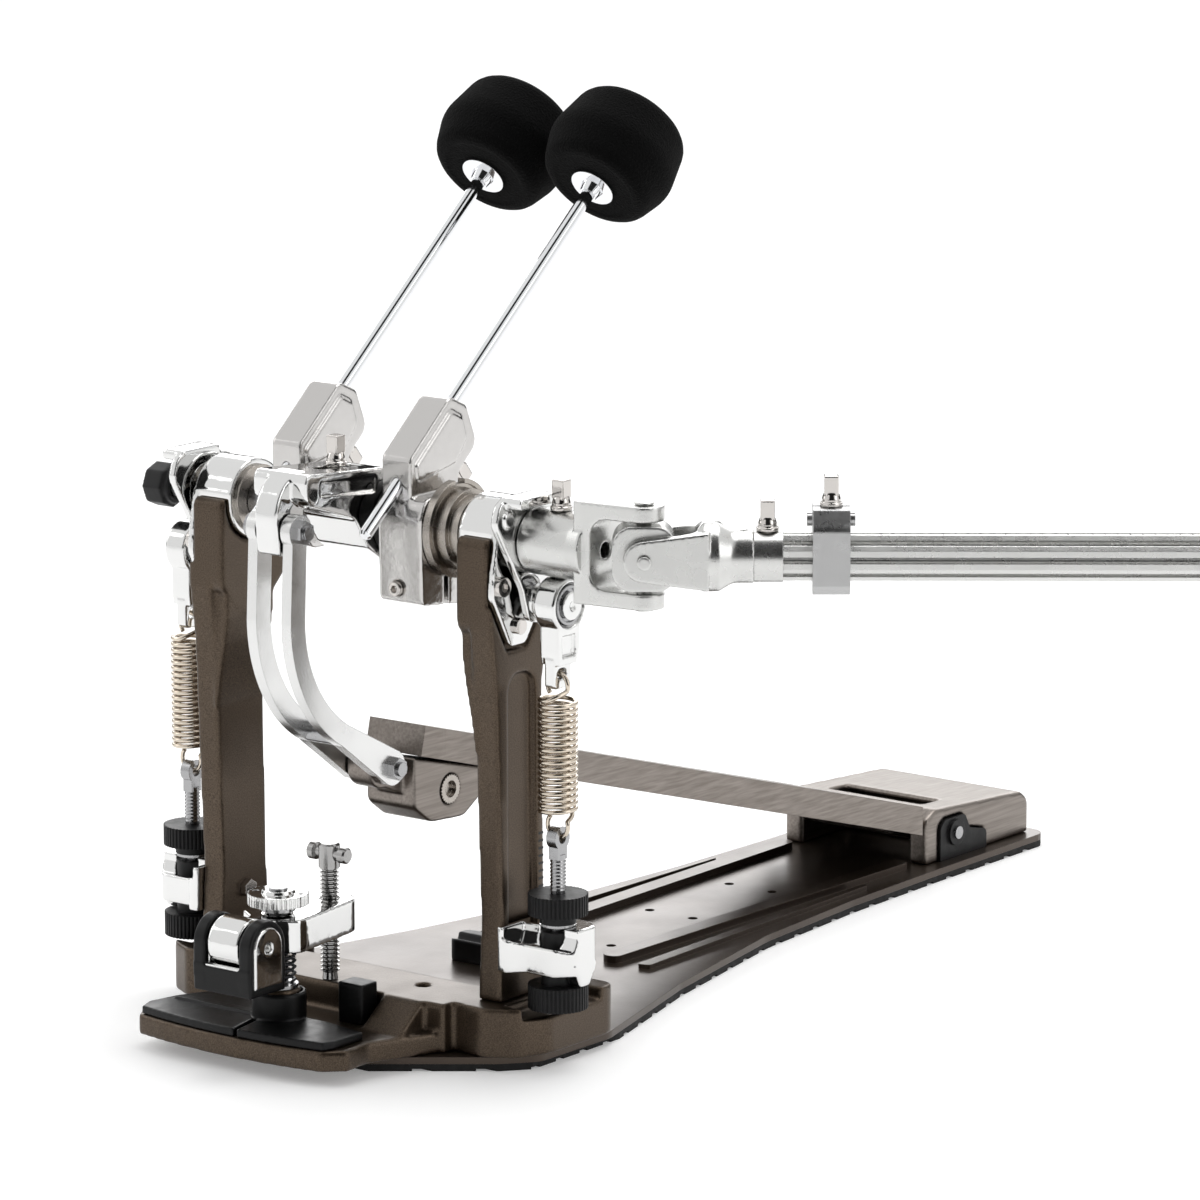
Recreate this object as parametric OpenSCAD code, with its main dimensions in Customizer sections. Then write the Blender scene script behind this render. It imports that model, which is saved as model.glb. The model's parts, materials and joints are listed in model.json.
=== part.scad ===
// Double bass drum pedal: the main pedal with its second beater, and the telescopic drive shaft to the helper pedal.
// Millimetres. X runs along the rocker axle towards the drive shaft, Y from the drum side to the heel, Z up.
// The origin lies on the floor, midway between the two posts and under the axle.

/* [Frame] */
// Height of the rocker axle above the floor
axle_z = 220; // [212:1:230]
// Distance of each post's outer face from the middle
post_outer_x = 81; // [79:0.5:81]
// Thickness of a post
post_thick = 11.5; // [10:0.5:12]
// Height of the casting's top, which the posts stand on
casting_top_z = 27; // [25:0.5:27]

/* [Beaters] */
// Lean of the beater rods above the level, at rest
rod_slope = 39.5; // [37:0.5:42]
// Distance of the rod's centre line from the axle
rod_offset = 25; // [24.5:0.1:25.5]
// Radius of a beater rod
rod_r = 2.85; // [2.6:0.05:3]
// Length of a rod from its foot to the washer under the head
rod_length = 197; // [185:1:210]
// Distance of each beater from the middle
beater_x = 29.4; // [29:0.1:30]
// Radius of a felt head
head_r = 29; // [25:0.5:29]
// Length of a felt head along its rod
head_length = 42; // [38:1:46]

/* [Springs] */
// Distance of each spring from the middle
spring_x = 99; // [98.7:0.1:99.3]
// Mean radius of the coils
spring_r = 7.5; // [7:0.1:7.8]
// Thickness of the spring wire
wire_d = 1.95; // [1.7:0.05:2]
// Number of turns between the hooks, whole turns
spring_turns = 18; // [16:1:18]
// Height of the hole that the top hook hangs in
top_hook_z = 166; // [165:0.5:167]
// Height of the hole that the bottom hook hangs in
bottom_hook_z = 97; // [96:0.5:98]

/* [Footboard] */
// Height of the footboard's top at its nose
nose_z = 129; // [127:0.5:130]
// Half the width of the board at its nose
nose_half = 15; // [13.5:0.5:16]
// Half the width of the board at the heel
board_half = 42; // [38:0.5:44]
// Height of the hinge pin at the heel
heel_pin_z = 18; // [17:0.5:19]

/* [Drive shaft] */
// Angle between the rocker axle and the drive shaft
shaft_turn = 37; // [34:1:38]
// Width across the grooved inner shaft
shaft_width = 18.6; // [18:0.2:19]
// Distance between the centres of the two universal joints
shaft_length = 400; // [380:5:420]

/* [Hidden] */
$fn = 48;
// Running clearance of the turning fits
run = 0.06;
// Clearance of pieces pressed together
press = 0.03;
// Axial gap between pieces that pass one another
gap = 0.3;
axle_r = 5;
near_shaft_r = 7;
post_inner_x = post_outer_x - post_thick;
plate_bottom_z = 3;
plate_top_z = 6;
// Link pivots, as Y and Z
link_top = [-58, axle_z + 3];
link_foot = [1, 113.5];
pivot_r = 3;
foot_play = 1.4;
// Spring levers
lever_x0 = post_outer_x + 3.3;
lever_x1 = lever_x0 + 3.5;
hanger_y = 1.5;
hanger_z = axle_z - 25.5;
hanger_pin_r = 4;
// Universal joints
joint_x = spring_x + 44;
yoke_r = 14;
// Web of a yoke and its key bolt, as distances back from the joint
web_back = 37;
bolt_back = joint_x - (lever_x0 + 11.7 + joint_x - web_back) / 2;
helper_axle_r = 5;
cross_half = 14;
pin_r = 3;
cross_play = 0.9;
heel_pin_y = 374;
board_end_y = 346;
board_slope = atan2(nose_z - heel_pin_z - 17.3, board_end_y - 18);
clamp_x = 0;
dial_y = -60.5;
t_bolt_y = -27.5;

// Unit vector of v
function unit(v) = v / norm(v);

// Arc of the given radius that rounds the corner b between the neighbours a and c
function corner_arc(a, b, c, r, steps) =
  let (u = unit(a - b),
       w = unit(c - b),
       half = acos(u * w) / 2,
       reach = r / tan(half),
       centre = b + unit(u + w) * (r / sin(half)),
       p = b + u * reach - centre,
       q = b + w * reach - centre,
       start = atan2(p.y, p.x),
       raw = atan2(q.y, q.x) - start,
       sweep = raw > 180 ? raw - 360 : raw < -180 ? raw + 360 : raw)
  r < 0.01 ? [b] : [for (i = [0:steps]) centre + r * [cos(start + sweep * i / steps), sin(start + sweep * i / steps)]];

// Outline through the points with every corner rounded; radii is one number or one for each point
function rounded(points, radii, steps = 4) =
  let (n = len(points))
  [for (i = [0:n - 1])
    each corner_arc(points[(i + n - 1) % n], points[i], points[(i + 1) % n], is_list(radii) ? radii[i] : radii, steps)];

// Extrudes a Y-Z outline along X from x0 to x1
module across(x0, x1) {
  translate([x0, 0, 0]) rotate([90, 0, 90]) linear_extrude(x1 - x0) children();
}

// Cylinder along X from x0 to x1 at height z and depth y
module bar_x(x0, x1, r, y = 0, z = axle_z) {
  translate([x0, y, z]) rotate([0, 90, 0]) cylinder(r = r, h = x1 - x0);
}

// Extrudes a plan outline from z0 to z1
module slab(z0, z1) {
  translate([0, 0, z0]) linear_extrude(z1 - z0) children();
}

// Both sides: the child and its mirror image
module both_sides() {
  children();
  mirror([1, 0, 0]) children();
}

// Drum-key bolt: washer, neck and square head, standing on its local origin and pointing along its local Z
module key_bolt(reach = 6) {
  translate([0, 0, -reach]) cylinder(r = 2.6, h = reach + 1);
  cylinder(r = 4.6, h = 1.5);
  translate([0, 0, 1.5]) cylinder(r = 3.9, h = 1.5);
  translate([0, 0, 3]) cylinder(r1 = 3.9, r2 = 3.3, h = 2);
  translate([-2.9, -2.9, 5]) cube([5.8, 5.8, 7.5]);
}

// Knurled disc: a cylinder with notches round its edge
module knurled(r, h, notches) {
  difference() {
    cylinder(r = r, h = h);
    for (i = [0:notches - 1])
      rotate([0, 0, 360 * i / notches]) translate([r, 0, -0.5]) cylinder(r = 0.55, h = h + 1, $fn = 6);
  }
}

// Places the child on the rod's centre line, Z along the rod, at distance s from the point nearest the axle
module on_rod(x, s) {
  translate([x, -rod_offset * sin(rod_slope), axle_z + rod_offset * cos(rod_slope)])
    rotate([rod_slope - 90, 0, 0]) translate([0, 0, s]) children();
}

// Places the child at the first universal joint, X along the drive shaft
module on_shaft(s = 0) {
  translate([joint_x, 0, axle_z]) rotate([0, 0, shaft_turn]) translate([s, 0, 0]) children();
}

// Base
plate_side = [[38, -57], [85, -21], [96, -8], [97, 38], [74, 118], [56, 206], [50, 280], [48, 350], [47, 442]];
plate_outline = rounded(concat(plate_side, [for (i = [len(plate_side) - 1:-1:0]) [-plate_side[i].x, plate_side[i].y]]),
  [3, 10, 8, 20, 60, 80, 80, 60, 8, 8, 60, 80, 80, 60, 20, 8, 10, 3], 5);

module base_plate() {
  color("#3a3029") {
    difference() {
      slab(plate_bottom_z, plate_top_z) polygon(plate_outline);
      both_sides() for (y = [150:60:270]) translate([12, y, 0]) cylinder(r = 2.2, h = 10);
    }
    // Two long raised ridges each side of the open middle
    both_sides() {
      translate([0, 0, plate_top_z]) linear_extrude(3.2) polygon(rounded([[24, 126], [33, 126], [37, 344], [28, 344]], 4));
      translate([0, 0, plate_top_z]) linear_extrude(2) polygon(rounded([[44, 126], [50, 128], [44, 300], [41, 300]], 1.4));
    }
  }
}

module base_rubber() {
  color("#161616") difference() {
    slab(0, plate_bottom_z) intersection() {
      polygon(plate_outline);
      translate([-94, -54]) square([188, 492]);
    }
    for (y = [-43:16:437]) translate([-110, y, -1]) cube([220, 5, 2]);
  }
}

module plate_bumper() {
  color("#111111") translate([0, 0, plate_top_z]) difference() {
    linear_extrude(11) polygon(rounded([[-30, 88], [30, 88], [30, 102], [-30, 102]], 4));
    translate([-40, 86, 11]) rotate([-22, 0, 0]) cube([80, 9, 6]);
  }
}

// Top and bottom of the plate under the hoop, and its bowed front edge
hoop_z0 = plate_top_z;
hoop_z1 = 15;
hoop_front = [for (x = [-56:14:42]) [x, -84 - 5.5 * (1 - pow((x + 8) / 52, 2))]];
foot_outline = rounded([[58, -25], [80, -27], [93, -20], [99, -5], [99, 40], [62, 40], [56, 4]], [6, 7, 9, 8, 6, 8, 8]);

module front_casting() {
  color("#5d5041") difference() {
    union() {
      // Plate under the drum hoop, bowed in front
      slab(hoop_z0, hoop_z1) polygon(concat(hoop_front, [[50, -77], [49, -62], [62, -31], [-52, -31], [-60, -64], [-61, -77]]));
      // Cross beam and the two foot blocks
      slab(plate_top_z, casting_top_z) polygon([[-64, -32], [64, -32], [64, 2], [-64, 2]]);
      both_sides() slab(plate_top_z, casting_top_z) polygon(foot_outline);
      // Sloping shoulder from the beam down to the hoop plate
      across(33, 54) polygon([[-50, hoop_z1 - 1], [-31, hoop_z1 - 1], [-31, casting_top_z], [-33, casting_top_z]]);
      translate([clamp_x, dial_y, 15]) cylinder(r = 9, h = 16);
    }
    // Room for the steel plate and its rubber under the casting
    translate([-110, -59, 0]) cube([220, 110, plate_top_z]);
    both_sides() {
      translate([37, -11.6, 0]) cylinder(r = 2.9, h = 40);
      // Machined step under the lower knob
      translate([84, -17, 22]) cube([20, 46, 10]);
      // Hollow behind the beam face
      slab(0, 21) polygon(rounded([[66, -18], [90, -20], [92, 32], [68, 34]], 4));
    }
    translate([clamp_x, dial_y, 3]) cylinder(r = 4, h = 40);
  }
}

module hoop_pads() {
  color("#141414") difference() {
    union() {
      slab(hoop_z1, 18) polygon(rounded([[-52, -81], [-3, -86.5], [-17, -36], [-42, -36], [-53, -62]], [3, 2, 2, 3, 3]));
      slab(hoop_z1, 18) polygon(rounded([[2, -86.7], [26, -86], [40, -82], [40, -58], [20, -56], [-6, -57]], [2, 3, 3, 3, 2, 2]));
      slab(hoop_z1, 19.2) polygon([[-50, -66.5], [-9.5, -66.5], [-10.8, -61.5], [-50, -61.5]]);
    }
    translate([clamp_x, dial_y, 0]) cylinder(r = 9.3, h = 40);
  }
}

module stop_block() {
  color("#111111") {
    slab(hoop_z1, 32) polygon(rounded([[17, -43.5], [30, -43.5], [30, -32.6], [17, -32.6]], 1));
  }
}

// Hoop clamp
jaw_z0 = 48;
jaw_z1 = 62;
shoe_pin = [-85.5, 54.5];
nose_half_x = 8.2;
nose_r = 11;

module clamp_jaw() {
  color("#c9ccd0") difference() {
    union() {
      slab(jaw_z0, jaw_z1) polygon(rounded([[-6, -90], [6, -90], [6.5, -71], [15, -65.5], [15, -60], [9.5, -18], [-9.5, -18], [-15, -60], [-15, -65.5],
        [-6.5, -71]],
        [2, 2, 3, 2, 6, 9, 9, 6, 2, 3]));
      // Round barrel of the nose, which the shoe hangs on
      bar_x(-nose_half_x, nose_half_x, nose_r, shoe_pin.x, shoe_pin.y);
    }
    translate([clamp_x, dial_y, 40]) cylinder(r = 5.4, h = 30);
    translate([clamp_x, t_bolt_y, 40]) cylinder(r = 3.9 + run, h = 30);
    bar_x(-30, 30, 2.54, shoe_pin.x, shoe_pin.y);
    // Pocket under the body
    translate([clamp_x - 8, -49, 40]) cube([16, 12, 18]);
  }
}

// Side outline of the shoe, grown by m all round
function shoe_side(m) = let (y = shoe_pin.x)
  rounded([[y - 9 - m, 39 - m], [y + 9 + m, 39 - m], [y + 9 + m, 56], [y + 4 + m, 62 + m], [y - 4 - m, 62 + m], [y - 9 - m, 56]], 5);

module clamp_shoe() {
  color("#b9bcc0") difference() {
    union() {
      across(9, 11.6) polygon(shoe_side(0));
      across(-11.6, -9) polygon(shoe_side(0));
      translate([-11.6, shoe_pin.x - 4, 39]) cube([23.2, 8, 2.4]);
    }
    bar_x(-30, 30, 2.5, shoe_pin.x, shoe_pin.y);
  }
}

module shoe_rubber() {
  color("#121212") difference() {
    union() {
      across(-15.5, -8.8) polygon(shoe_side(2.5));
      across(8.8, 15) polygon(shoe_side(2.5));
      translate([-15, shoe_pin.x - 11.5, 35]) cube([30, 23, 8]);
    }
    // The chrome cradle lies in the rubber, and its near ear shows
    across(-11.7, 20) polygon(shoe_side(0.1));
    translate([-8.8, -110, 41.5]) cube([17.6, 60, 30]);
  }
}

module shoe_pin_rod() {
  color("#8d9094") bar_x(-11.6, 11.6, 2.46, shoe_pin.x, shoe_pin.y);
}

module clamp_bolt() {
  color("#8d9094") translate([clamp_x, dial_y, 0]) {
    translate([0, 0, 12]) cylinder(r = 3.9, h = 61);
    translate([0, 0, 31]) cylinder(r = 8, h = 1.4);
    translate([0, 0, 62.5]) cylinder(r1 = 4.2, r2 = 7, h = 0.8);
    translate([0, 0, 63.3]) cylinder(r = 7, h = 2.6);
  }
}

module clamp_dial() {
  color("#d2d4d7") translate([clamp_x, dial_y, 66.2]) difference() {
    union() {
      knurled(12.8, 4.6, 40);
      cylinder(r1 = 9, r2 = 6.6, h = 6);
    }
    translate([0, 0, -1]) cylinder(r = 3.9 + run, h = 10);
    for (a = [20, 200]) rotate([0, 0, a]) translate([9.8, 0, 2]) cylinder(r = 1.3, h = 6, $fn = 24);
  }
}

module t_bolt() {
  color("#9a9da1") translate([clamp_x, t_bolt_y, 0]) {
    translate([0, 0, casting_top_z + gap]) cylinder(r = 3.9, h = 48);
    for (z = [63:1.6:73]) translate([0, 0, z]) cylinder(r1 = 4.3, r2 = 3.9, h = 0.8);
    translate([0, 0, 75]) cylinder(r = 4.6, h = 10.5);
    translate([-10, 0, 81]) rotate([0, 90, 0]) cylinder(r = 2.4, h = 20);
    translate([-10, 0, 81]) rotate([0, 90, 0]) cylinder(r = 3.8, h = 4);
    translate([6, 0, 81]) rotate([0, 90, 0]) cylinder(r = 3.4, h = 4);
  }
}

// Posts, housings and bearings
post_profile = rounded([[-16, casting_top_z], [-14, 60], [-18, 160], [-21, 184], [-21, axle_z + 2], [21, axle_z + 2],
  [21, 186], [13, 160], [14, 60], [17, casting_top_z]], [0, 40, 40, 8, 4, 4, 8, 40, 40, 0]);

module right_post() {
  color("#55493b") difference() {
    union() {
      across(post_inner_x, post_outer_x) polygon(post_profile);
      // The head is thicker towards the middle
      across(62.5, post_inner_x + 1) polygon(rounded([[-21, 184], [-21, axle_z + 2], [21, axle_z + 2], [21, 186], [6, 172], [-8, 172]],
        [8, 4, 4, 8, 10, 10]));
    }
    // Seat of the bearing housing
    bar_x(50, 90, 17.3);
    across(50, 90) polygon([[-17.3, axle_z], [17.3, axle_z], [17.3, axle_z + 5], [-17.3, axle_z + 5]]);
    // Long shallow channel down the outer face, and the pocket of the flange plate
    across(post_outer_x - 3, post_outer_x + 1) polygon(rounded([[-9, 40], [9, 40], [8, 164], [-9, 164]], 7));
    across(post_outer_x - 2.5, post_outer_x + 1) polygon(rounded([[-22, 230], [22, 230], [22, 200], [2, 174], [-10, 174], [-22, 196]], 3));
    // Hole of the bracket bolt
    bar_x(50, 90, 2.2, 0, 50);
  }
}

module left_post() {
  mirror([1, 0, 0]) right_post();
}

module housing(inner_r) {
  color("#c4c7cb") difference() {
    union() {
      bar_x(61, post_outer_x + gap, 17);
      across(61, post_outer_x + gap) polygon([[-17, axle_z], [17, axle_z], [17, axle_z + 4.6], [-17, axle_z + 4.6]]);
      // Flange plate on the outer face, tapering down to its bolts
      across(post_outer_x - 2.2, post_outer_x + 0.8) polygon(rounded([[-17, axle_z + 4], [17, axle_z + 4], [20, 208], [18, 200],
        [1, 176], [-9, 176], [-21, 198], [-20, 208]], [2, 2, 3, 3, 4, 4, 4, 3]));
    }
    bar_x(50, 100, inner_r);
  }
}

module right_housing() {
  housing(12 + 0.02);
}

module left_housing() {
  mirror([1, 0, 0]) housing(12 + 0.02);
}

module bearing(bore_r) {
  color("#a48a5f") difference() {
    union() {
      bar_x(61, 75, 12);
      bar_x(59, 61, 14.5);
    }
    bar_x(50, 100, bore_r);
  }
}

module right_bearing() {
  bearing(near_shaft_r + run);
}

module left_bearing() {
  mirror([1, 0, 0]) bearing(axle_r + run);
}

module housing_screws() {
  color("#b58b5c") both_sides() {
    difference() {
      bar_x(post_outer_x + 0.8, lever_x0 - gap, 4.1, -15.5, 202);
      bar_x(post_outer_x + 2, 100, 1.9, -15.5, 202, $fn = 6);
    }
    bar_x(post_outer_x + 0.8, post_outer_x + 2.6, 3.4, -4, 184);
  }
}

// Main axle group
module main_axle() {
  color("#5c5f63") {
    bar_x(-112, 52, axle_r);
    bar_x(-59 + gap, -51, 8.5);
  }
}

module axle_end_cap() {
  color("#2c2c2e") difference() {
    union() {
      translate([-117, 0, axle_z]) rotate([0, 90, 0]) cylinder(r = 9.6, h = 10, $fn = 8);
      bar_x(-107, -104.5, 7.5);
    }
    bar_x(-113, -90, axle_r);
  }
}

module hub_spacer() {
  color("#1c1c1d") difference() {
    bar_x(14.2, 21.4, 15.5);
    bar_x(0, 40, axle_r);
  }
}

lever_profile = rounded([[-26, 229], [-23, 239], [-10, 239], [12, 236], [15, 220], [14, 190], [6, 184.5], [-4, 186], [-8, 200]],
  [6, 6, 6, 6, 8, 8, 6, 6, 12]);

module spring_lever(bore_r) {
  color("#bfc2c6") {
    difference() {
      union() {
        across(lever_x0, lever_x1) polygon(lever_profile);
        // Top bar that stiffens the plate
        across(lever_x0, lever_x0 + 11.4) polygon(rounded([[-20, 235.5], [4, 235.5], [4, 240], [-20, 240]], 1.5));
        bar_x(post_outer_x + 1, lever_x1, bore_r + 4);
      }
      bar_x(50, 120, bore_r);
      bar_x(50, 120, hanger_pin_r, hanger_y, hanger_z);
    }
    // Rivet head and the pin of the hanger
    bar_x(lever_x1, lever_x1 + 1.2, 3.4, -18, 231);
  }
}

module lever_pin() {
  color("#6d7074") difference() {
    union() {
      bar_x(lever_x0, spring_x + 6.7, hanger_pin_r, hanger_y, hanger_z);
      bar_x(lever_x1, spring_x - 5.5 - gap, 6, hanger_y, hanger_z);
      bar_x(spring_x + 5.5 + gap, spring_x + 6.7, 6.2, hanger_y, hanger_z);
    }
    translate([spring_x + 5.9, hanger_y, hanger_z]) rotate([0, 90, 0]) cylinder(r = 2.2, h = 6, $fn = 6);
  }
}

module left_lever() {
  mirror([1, 0, 0]) spring_lever(axle_r);
  mirror([1, 0, 0]) lever_pin();
}

module right_lever() {
  spring_lever(near_shaft_r);
  lever_pin();
}

module rocker() {
  color("#c6c9cd") difference() {
    union() {
      // Hub and the bar that reaches forward over the link
      across(-14, 14) polygon(rounded([[-52, 232.5], [-57, 236], [-57, 246.5], [-6, 242.5], [12, 236], [16, 222], [12, 206], [-6, 203],
        [-17, 210], [-26, 224]], [3, 3, 3, 10, 8, 8, 6, 6, 6, 8]));
      // Tongue that curves down between the link arms
      across(-5.8, 5.8) intersection() {
        translate([-48.5, 228.5]) circle(r = 18);
        translate([-70, 200]) square([22, 60]);
      }
      across(-5.8, 5.8) polygon(rounded([[-66.5, 230], [-48, 230], [-51, 214], [-56, 212.5], [-65, 213]], [0, 0, 3, 3, 3]));
    }
    bar_x(-30, 30, axle_r);
    bar_x(-30, 30, pivot_r + run, link_top.x, link_top.y);
    // Slot of the adjusting bolt in the top face
    translate([-3.5, -36, 236]) cube([7, 28, 20]);
    // Shallow panel on each side of the bar
    for (x = [-16, 13]) across(x, x + 3) polygon(rounded([[-48, 236], [-48, 242.6], [-12, 240], [-12, 233]], 1.5));
  }
}

// Beaters
holder_profile = [[-18, 250], [8.5, 272.5], [19, 267.5], [26, 250.5], [13.2, 240]];

module holder_top(x0, x1, x) {
  difference() {
    union() {
      across(x0, x1) polygon(rounded(concat(holder_profile, [[15, 222], [9, 204.5], [-10, 204.5], [-17, 214], [-18, 238]]),
        [3, 5, 4, 6, 8, 4, 5, 5, 5, 2]));
      across(x0 - 1.2, x1 + 1.2) polygon(rounded([[-15, 247], [8, 266.5], [15, 263], [18, 254], [11, 245], [-14, 240]], 2));
    }
    on_rod(x, -60) cylinder(r = rod_r + run, h = 160);
  }
}

// Bolt that clamps a rod, square to it
module rod_bolt(x) {
  on_rod(x, 30) rotate([-90, 0, 0]) translate([0, 0, 18]) key_bolt(18 - rod_r - gap);
}

module beater_holder_1() {
  color("#c6c9cd") difference() {
    holder_top(-beater_x - 7.6, -beater_x + 7.6, -beater_x);
    bar_x(-60, 0, axle_r);
    rod_bolt(-beater_x);
  }
}

module beater_holder_2() {
  color("#c6c9cd") difference() {
    union() {
      holder_top(beater_x - 7.6, beater_x + 7.6, beater_x);
      // Split clamp round the hub
      across(beater_x - 7.6, 44.6) polygon(rounded([[-20, 190], [10, 187], [13, 200], [13, 234], [-18, 234], [-21, 226]], [3, 3, 3, 6, 6, 4]));
    }
    bar_x(0, 60, 11);
    across(0, 60) polygon([[-5.5, 180], [-2.5, 180], [-2.5, 214], [-5.5, 214]]);
    // Hole of the pinch screw
    translate([beater_x + 2, -30, 196]) rotate([-90, 0, 0]) cylinder(r = 3.2, h = 60);
    rod_bolt(beater_x);
  }
}

module main_key_bolts() {
  color("#a89c90") {
    rod_bolt(-beater_x);
    // Bolt of the slot in the rocker's top
    translate([0, -21, 244.2]) key_bolt(8);
  }
}

module near_key_bolts() {
  color("#a89c90") {
    rod_bolt(beater_x);
    translate([joint_x - bolt_back, 0, axle_z + yoke_r]) key_bolt(yoke_r - near_shaft_r - gap);
    difference() {
      translate([beater_x + 2, -22.5, 196]) rotate([-90, 0, 0]) cylinder(r = 3.1, h = 34);
      translate([beater_x + 2, -23, 196]) rotate([-90, 0, 0]) cylinder(r = 1.6, h = 3, $fn = 6);
    }
  }
}

module beater_rod(x) {
  color("#d4d6d9") {
    on_rod(x, -30) translate([0, 0, 1.2]) cylinder(r = rod_r, h = rod_length + 15);
    on_rod(x, -30) cylinder(r1 = rod_r - 1, r2 = rod_r, h = 1.2);
  }
}

module beater_head(x) {
  color("#121212") on_rod(x, rod_length - 30) difference() {
    rotate_extrude() polygon(rounded([[0, 3], [head_r * 0.6, 2.4], [head_r * 0.8, 0], [head_r, head_length * 0.42],
      [head_r * 0.86, head_length * 0.93], [head_r * 0.45, head_length], [0, head_length]], [0, 1, 6, 16, 8, 10, 0], 5));
    translate([0, 0, -1]) cylinder(r = rod_r + 0.2, h = 20);
  }
}

module beater_washer(x) {
  color("#d9dadc") on_rod(x, rod_length - 30) difference() {
    union() {
      translate([0, 0, 1]) cylinder(r = 9.8, h = 1.3);
      translate([0, 0, -3]) cylinder(r1 = 3.8, r2 = 5, h = 4);
    }
    translate([0, 0, -5]) cylinder(r = rod_r + press, h = 10);
  }
}

module beater_rod_1() {
  beater_rod(-beater_x);
  beater_washer(-beater_x);
}

module beater_rod_2() {
  beater_rod(beater_x);
  beater_washer(beater_x);
}

module beater_head_1() {
  beater_head(-beater_x);
}

module beater_head_2() {
  beater_head(beater_x);
}

// Near axle group
module near_hub() {
  color("#b7aa98") difference() {
    union() {
      bar_x(22, 45, 11);
      difference() {
        bar_x(45, 48.6, 20.5);
        bar_x(47.6, 49.6, 18.6);
      }
      bar_x(47.6, 54, 17);
      bar_x(54, 58.7, 14.8);
      bar_x(58, joint_x - web_back - 2, near_shaft_r);
    }
    bar_x(0, 56, axle_r + run);
    // Index notch in the disc
    translate([44, -3, axle_z + 18.5]) cube([6, 6, 6]);
  }
}

// Universal joints
module yoke(bore_r, back) {
  // Collar that starts that far back from the joint, then a web with an arm above and an arm below
  difference() {
    union() {
      translate([-back, 0, 0]) rotate([0, 90, 0]) cylinder(r = yoke_r, h = back - 34);
      translate([-web_back, 0, 0]) rotate([90, 0, 90]) linear_extrude(5) polygon(rounded([[-11, -21], [11, -21], [11, 21], [-11, 21]], 4));
      for (s = [-1, 1]) translate([-web_back, -11, s > 0 ? cross_half + gap : -21]) cube([web_back, 22, 21 - cross_half - gap]);
      for (s = [-1, 1]) translate([0, 0, s > 0 ? cross_half + gap : -21]) cylinder(r = 11, h = 21 - cross_half - gap);
    }
    translate([-60, 0, 0]) rotate([0, 90, 0]) cylinder(r = bore_r, h = 24.5);
    translate([0, 0, -30]) cylinder(r = pin_r + run, h = 60);
    translate([-bolt_back, 0, 0]) cylinder(r = 2.6, h = 20);
    rotate([90, 0, 0]) translate([-24, 0, 4]) cylinder(r = 2, h = 20);
  }
}

module yoke_1() {
  color("#d2d3d5") translate([joint_x, 0, axle_z]) yoke(near_shaft_r, joint_x - lever_x1 - gap);
}

// Cross block with a pin through each pair of ears; local Z is the yoke's pin, local Y the fork's pin
module cross_piece() {
  difference() {
    linear_extrude(2 * cross_half - 2, center = true) polygon(rounded([[-9, -8.5], [9, -8.5], [9, 8.5], [-9, 8.5]], 4));
    translate([0, 0, -30]) cylinder(r = pin_r, h = 60);
  }
  difference() {
    translate([0, 0, -22.4]) cylinder(r = pin_r, h = 44.8);
    rotate([90, 0, 0]) translate([0, 0, -30]) cylinder(r = pin_r, h = 60);
  }
  for (s = [-1, 1]) translate([0, 0, s > 0 ? 21.3 : -22.5]) cylinder(r = 4.3, h = 1.2);
  rotate([90, 0, 0]) translate([0, 0, -17.4]) cylinder(r = pin_r, h = 34.8);
}

module cross_1() {
  color("#c3c4c6") on_shaft() cross_piece();
}

// Fork of the drive shaft: ears each side of the cross, running into a cone and a round neck
module fork_shape() {
  difference() {
    union() {
      for (s = [-1, 1]) {
        translate([0, s > 0 ? 9 + gap : -14.5, 0]) rotate([-90, 0, 0]) cylinder(r = 10.5, h = 5.5 - gap);
        translate([0, s > 0 ? 9 + gap : -14.5, -10.5]) cube([24, 5.5 - gap, 21]);
      }
      translate([22, 0, 0]) rotate([0, 90, 0]) cylinder(r1 = 14.4, r2 = 11, h = 11);
      translate([33, 0, 0]) rotate([0, 90, 0]) cylinder(r = 10.8, h = 11);
    }
    rotate([90, 0, 0]) translate([0, 0, -30]) cylinder(r = pin_r + cross_play, h = 60);
    translate([-12, -9 - gap, -20]) cube([34, 18 + 2 * gap, 40]);
    for (x = [29, 39]) translate([x, 0, 0]) cylinder(r = 1.6, h = 20);
    // Socket of the shaft
    translate([36, 0, 0]) rotate([0, 90, 0]) cylinder(r = 7, h = 20);
  }
}

module fork_1() {
  color("#d0d1d3") on_shaft() fork_shape();
}

// Octagon with a groove down the middle of each flat
function octagon(w) = [for (i = [0:7]) let (a = 22.5 + 45 * i, r = w / 2 / cos(22.5)) [r * cos(a), r * sin(a)]];

module inner_shaft() {
  color("#b9bbbe") on_shaft() {
    difference() {
      translate([44, 0, 0]) rotate([90, 0, 90]) linear_extrude(shaft_length - 44 - 92) difference() {
        polygon(octagon(shaft_width));
        for (i = [0:7]) rotate(45 * i) translate([shaft_width / 2 - 1, 0]) circle(r = 1.6, $fn = 12);
      }
      translate([43, 0, 0]) rotate([0, 90, 0]) cylinder(r = 5, h = 400);
    }
    difference() {
      translate([36.2, 0, 0]) rotate([0, 90, 0]) cylinder(r = 7, h = 8);
      translate([36, 0, 0]) rotate([0, 90, 0]) cylinder(r = 5, h = 10);
    }
    // Plain end ring next to the fork
    difference() {
      translate([44, 0, 0]) rotate([0, 90, 0]) cylinder(r = 10.4, h = 11.7);
      translate([43, 0, 0]) rotate([0, 90, 0]) cylinder(r = 9, h = 14);
      translate([49.5, 0, 5]) cylinder(r = 2.6, h = 8);
    }
  }
}

lock_s = 67.5;

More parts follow.
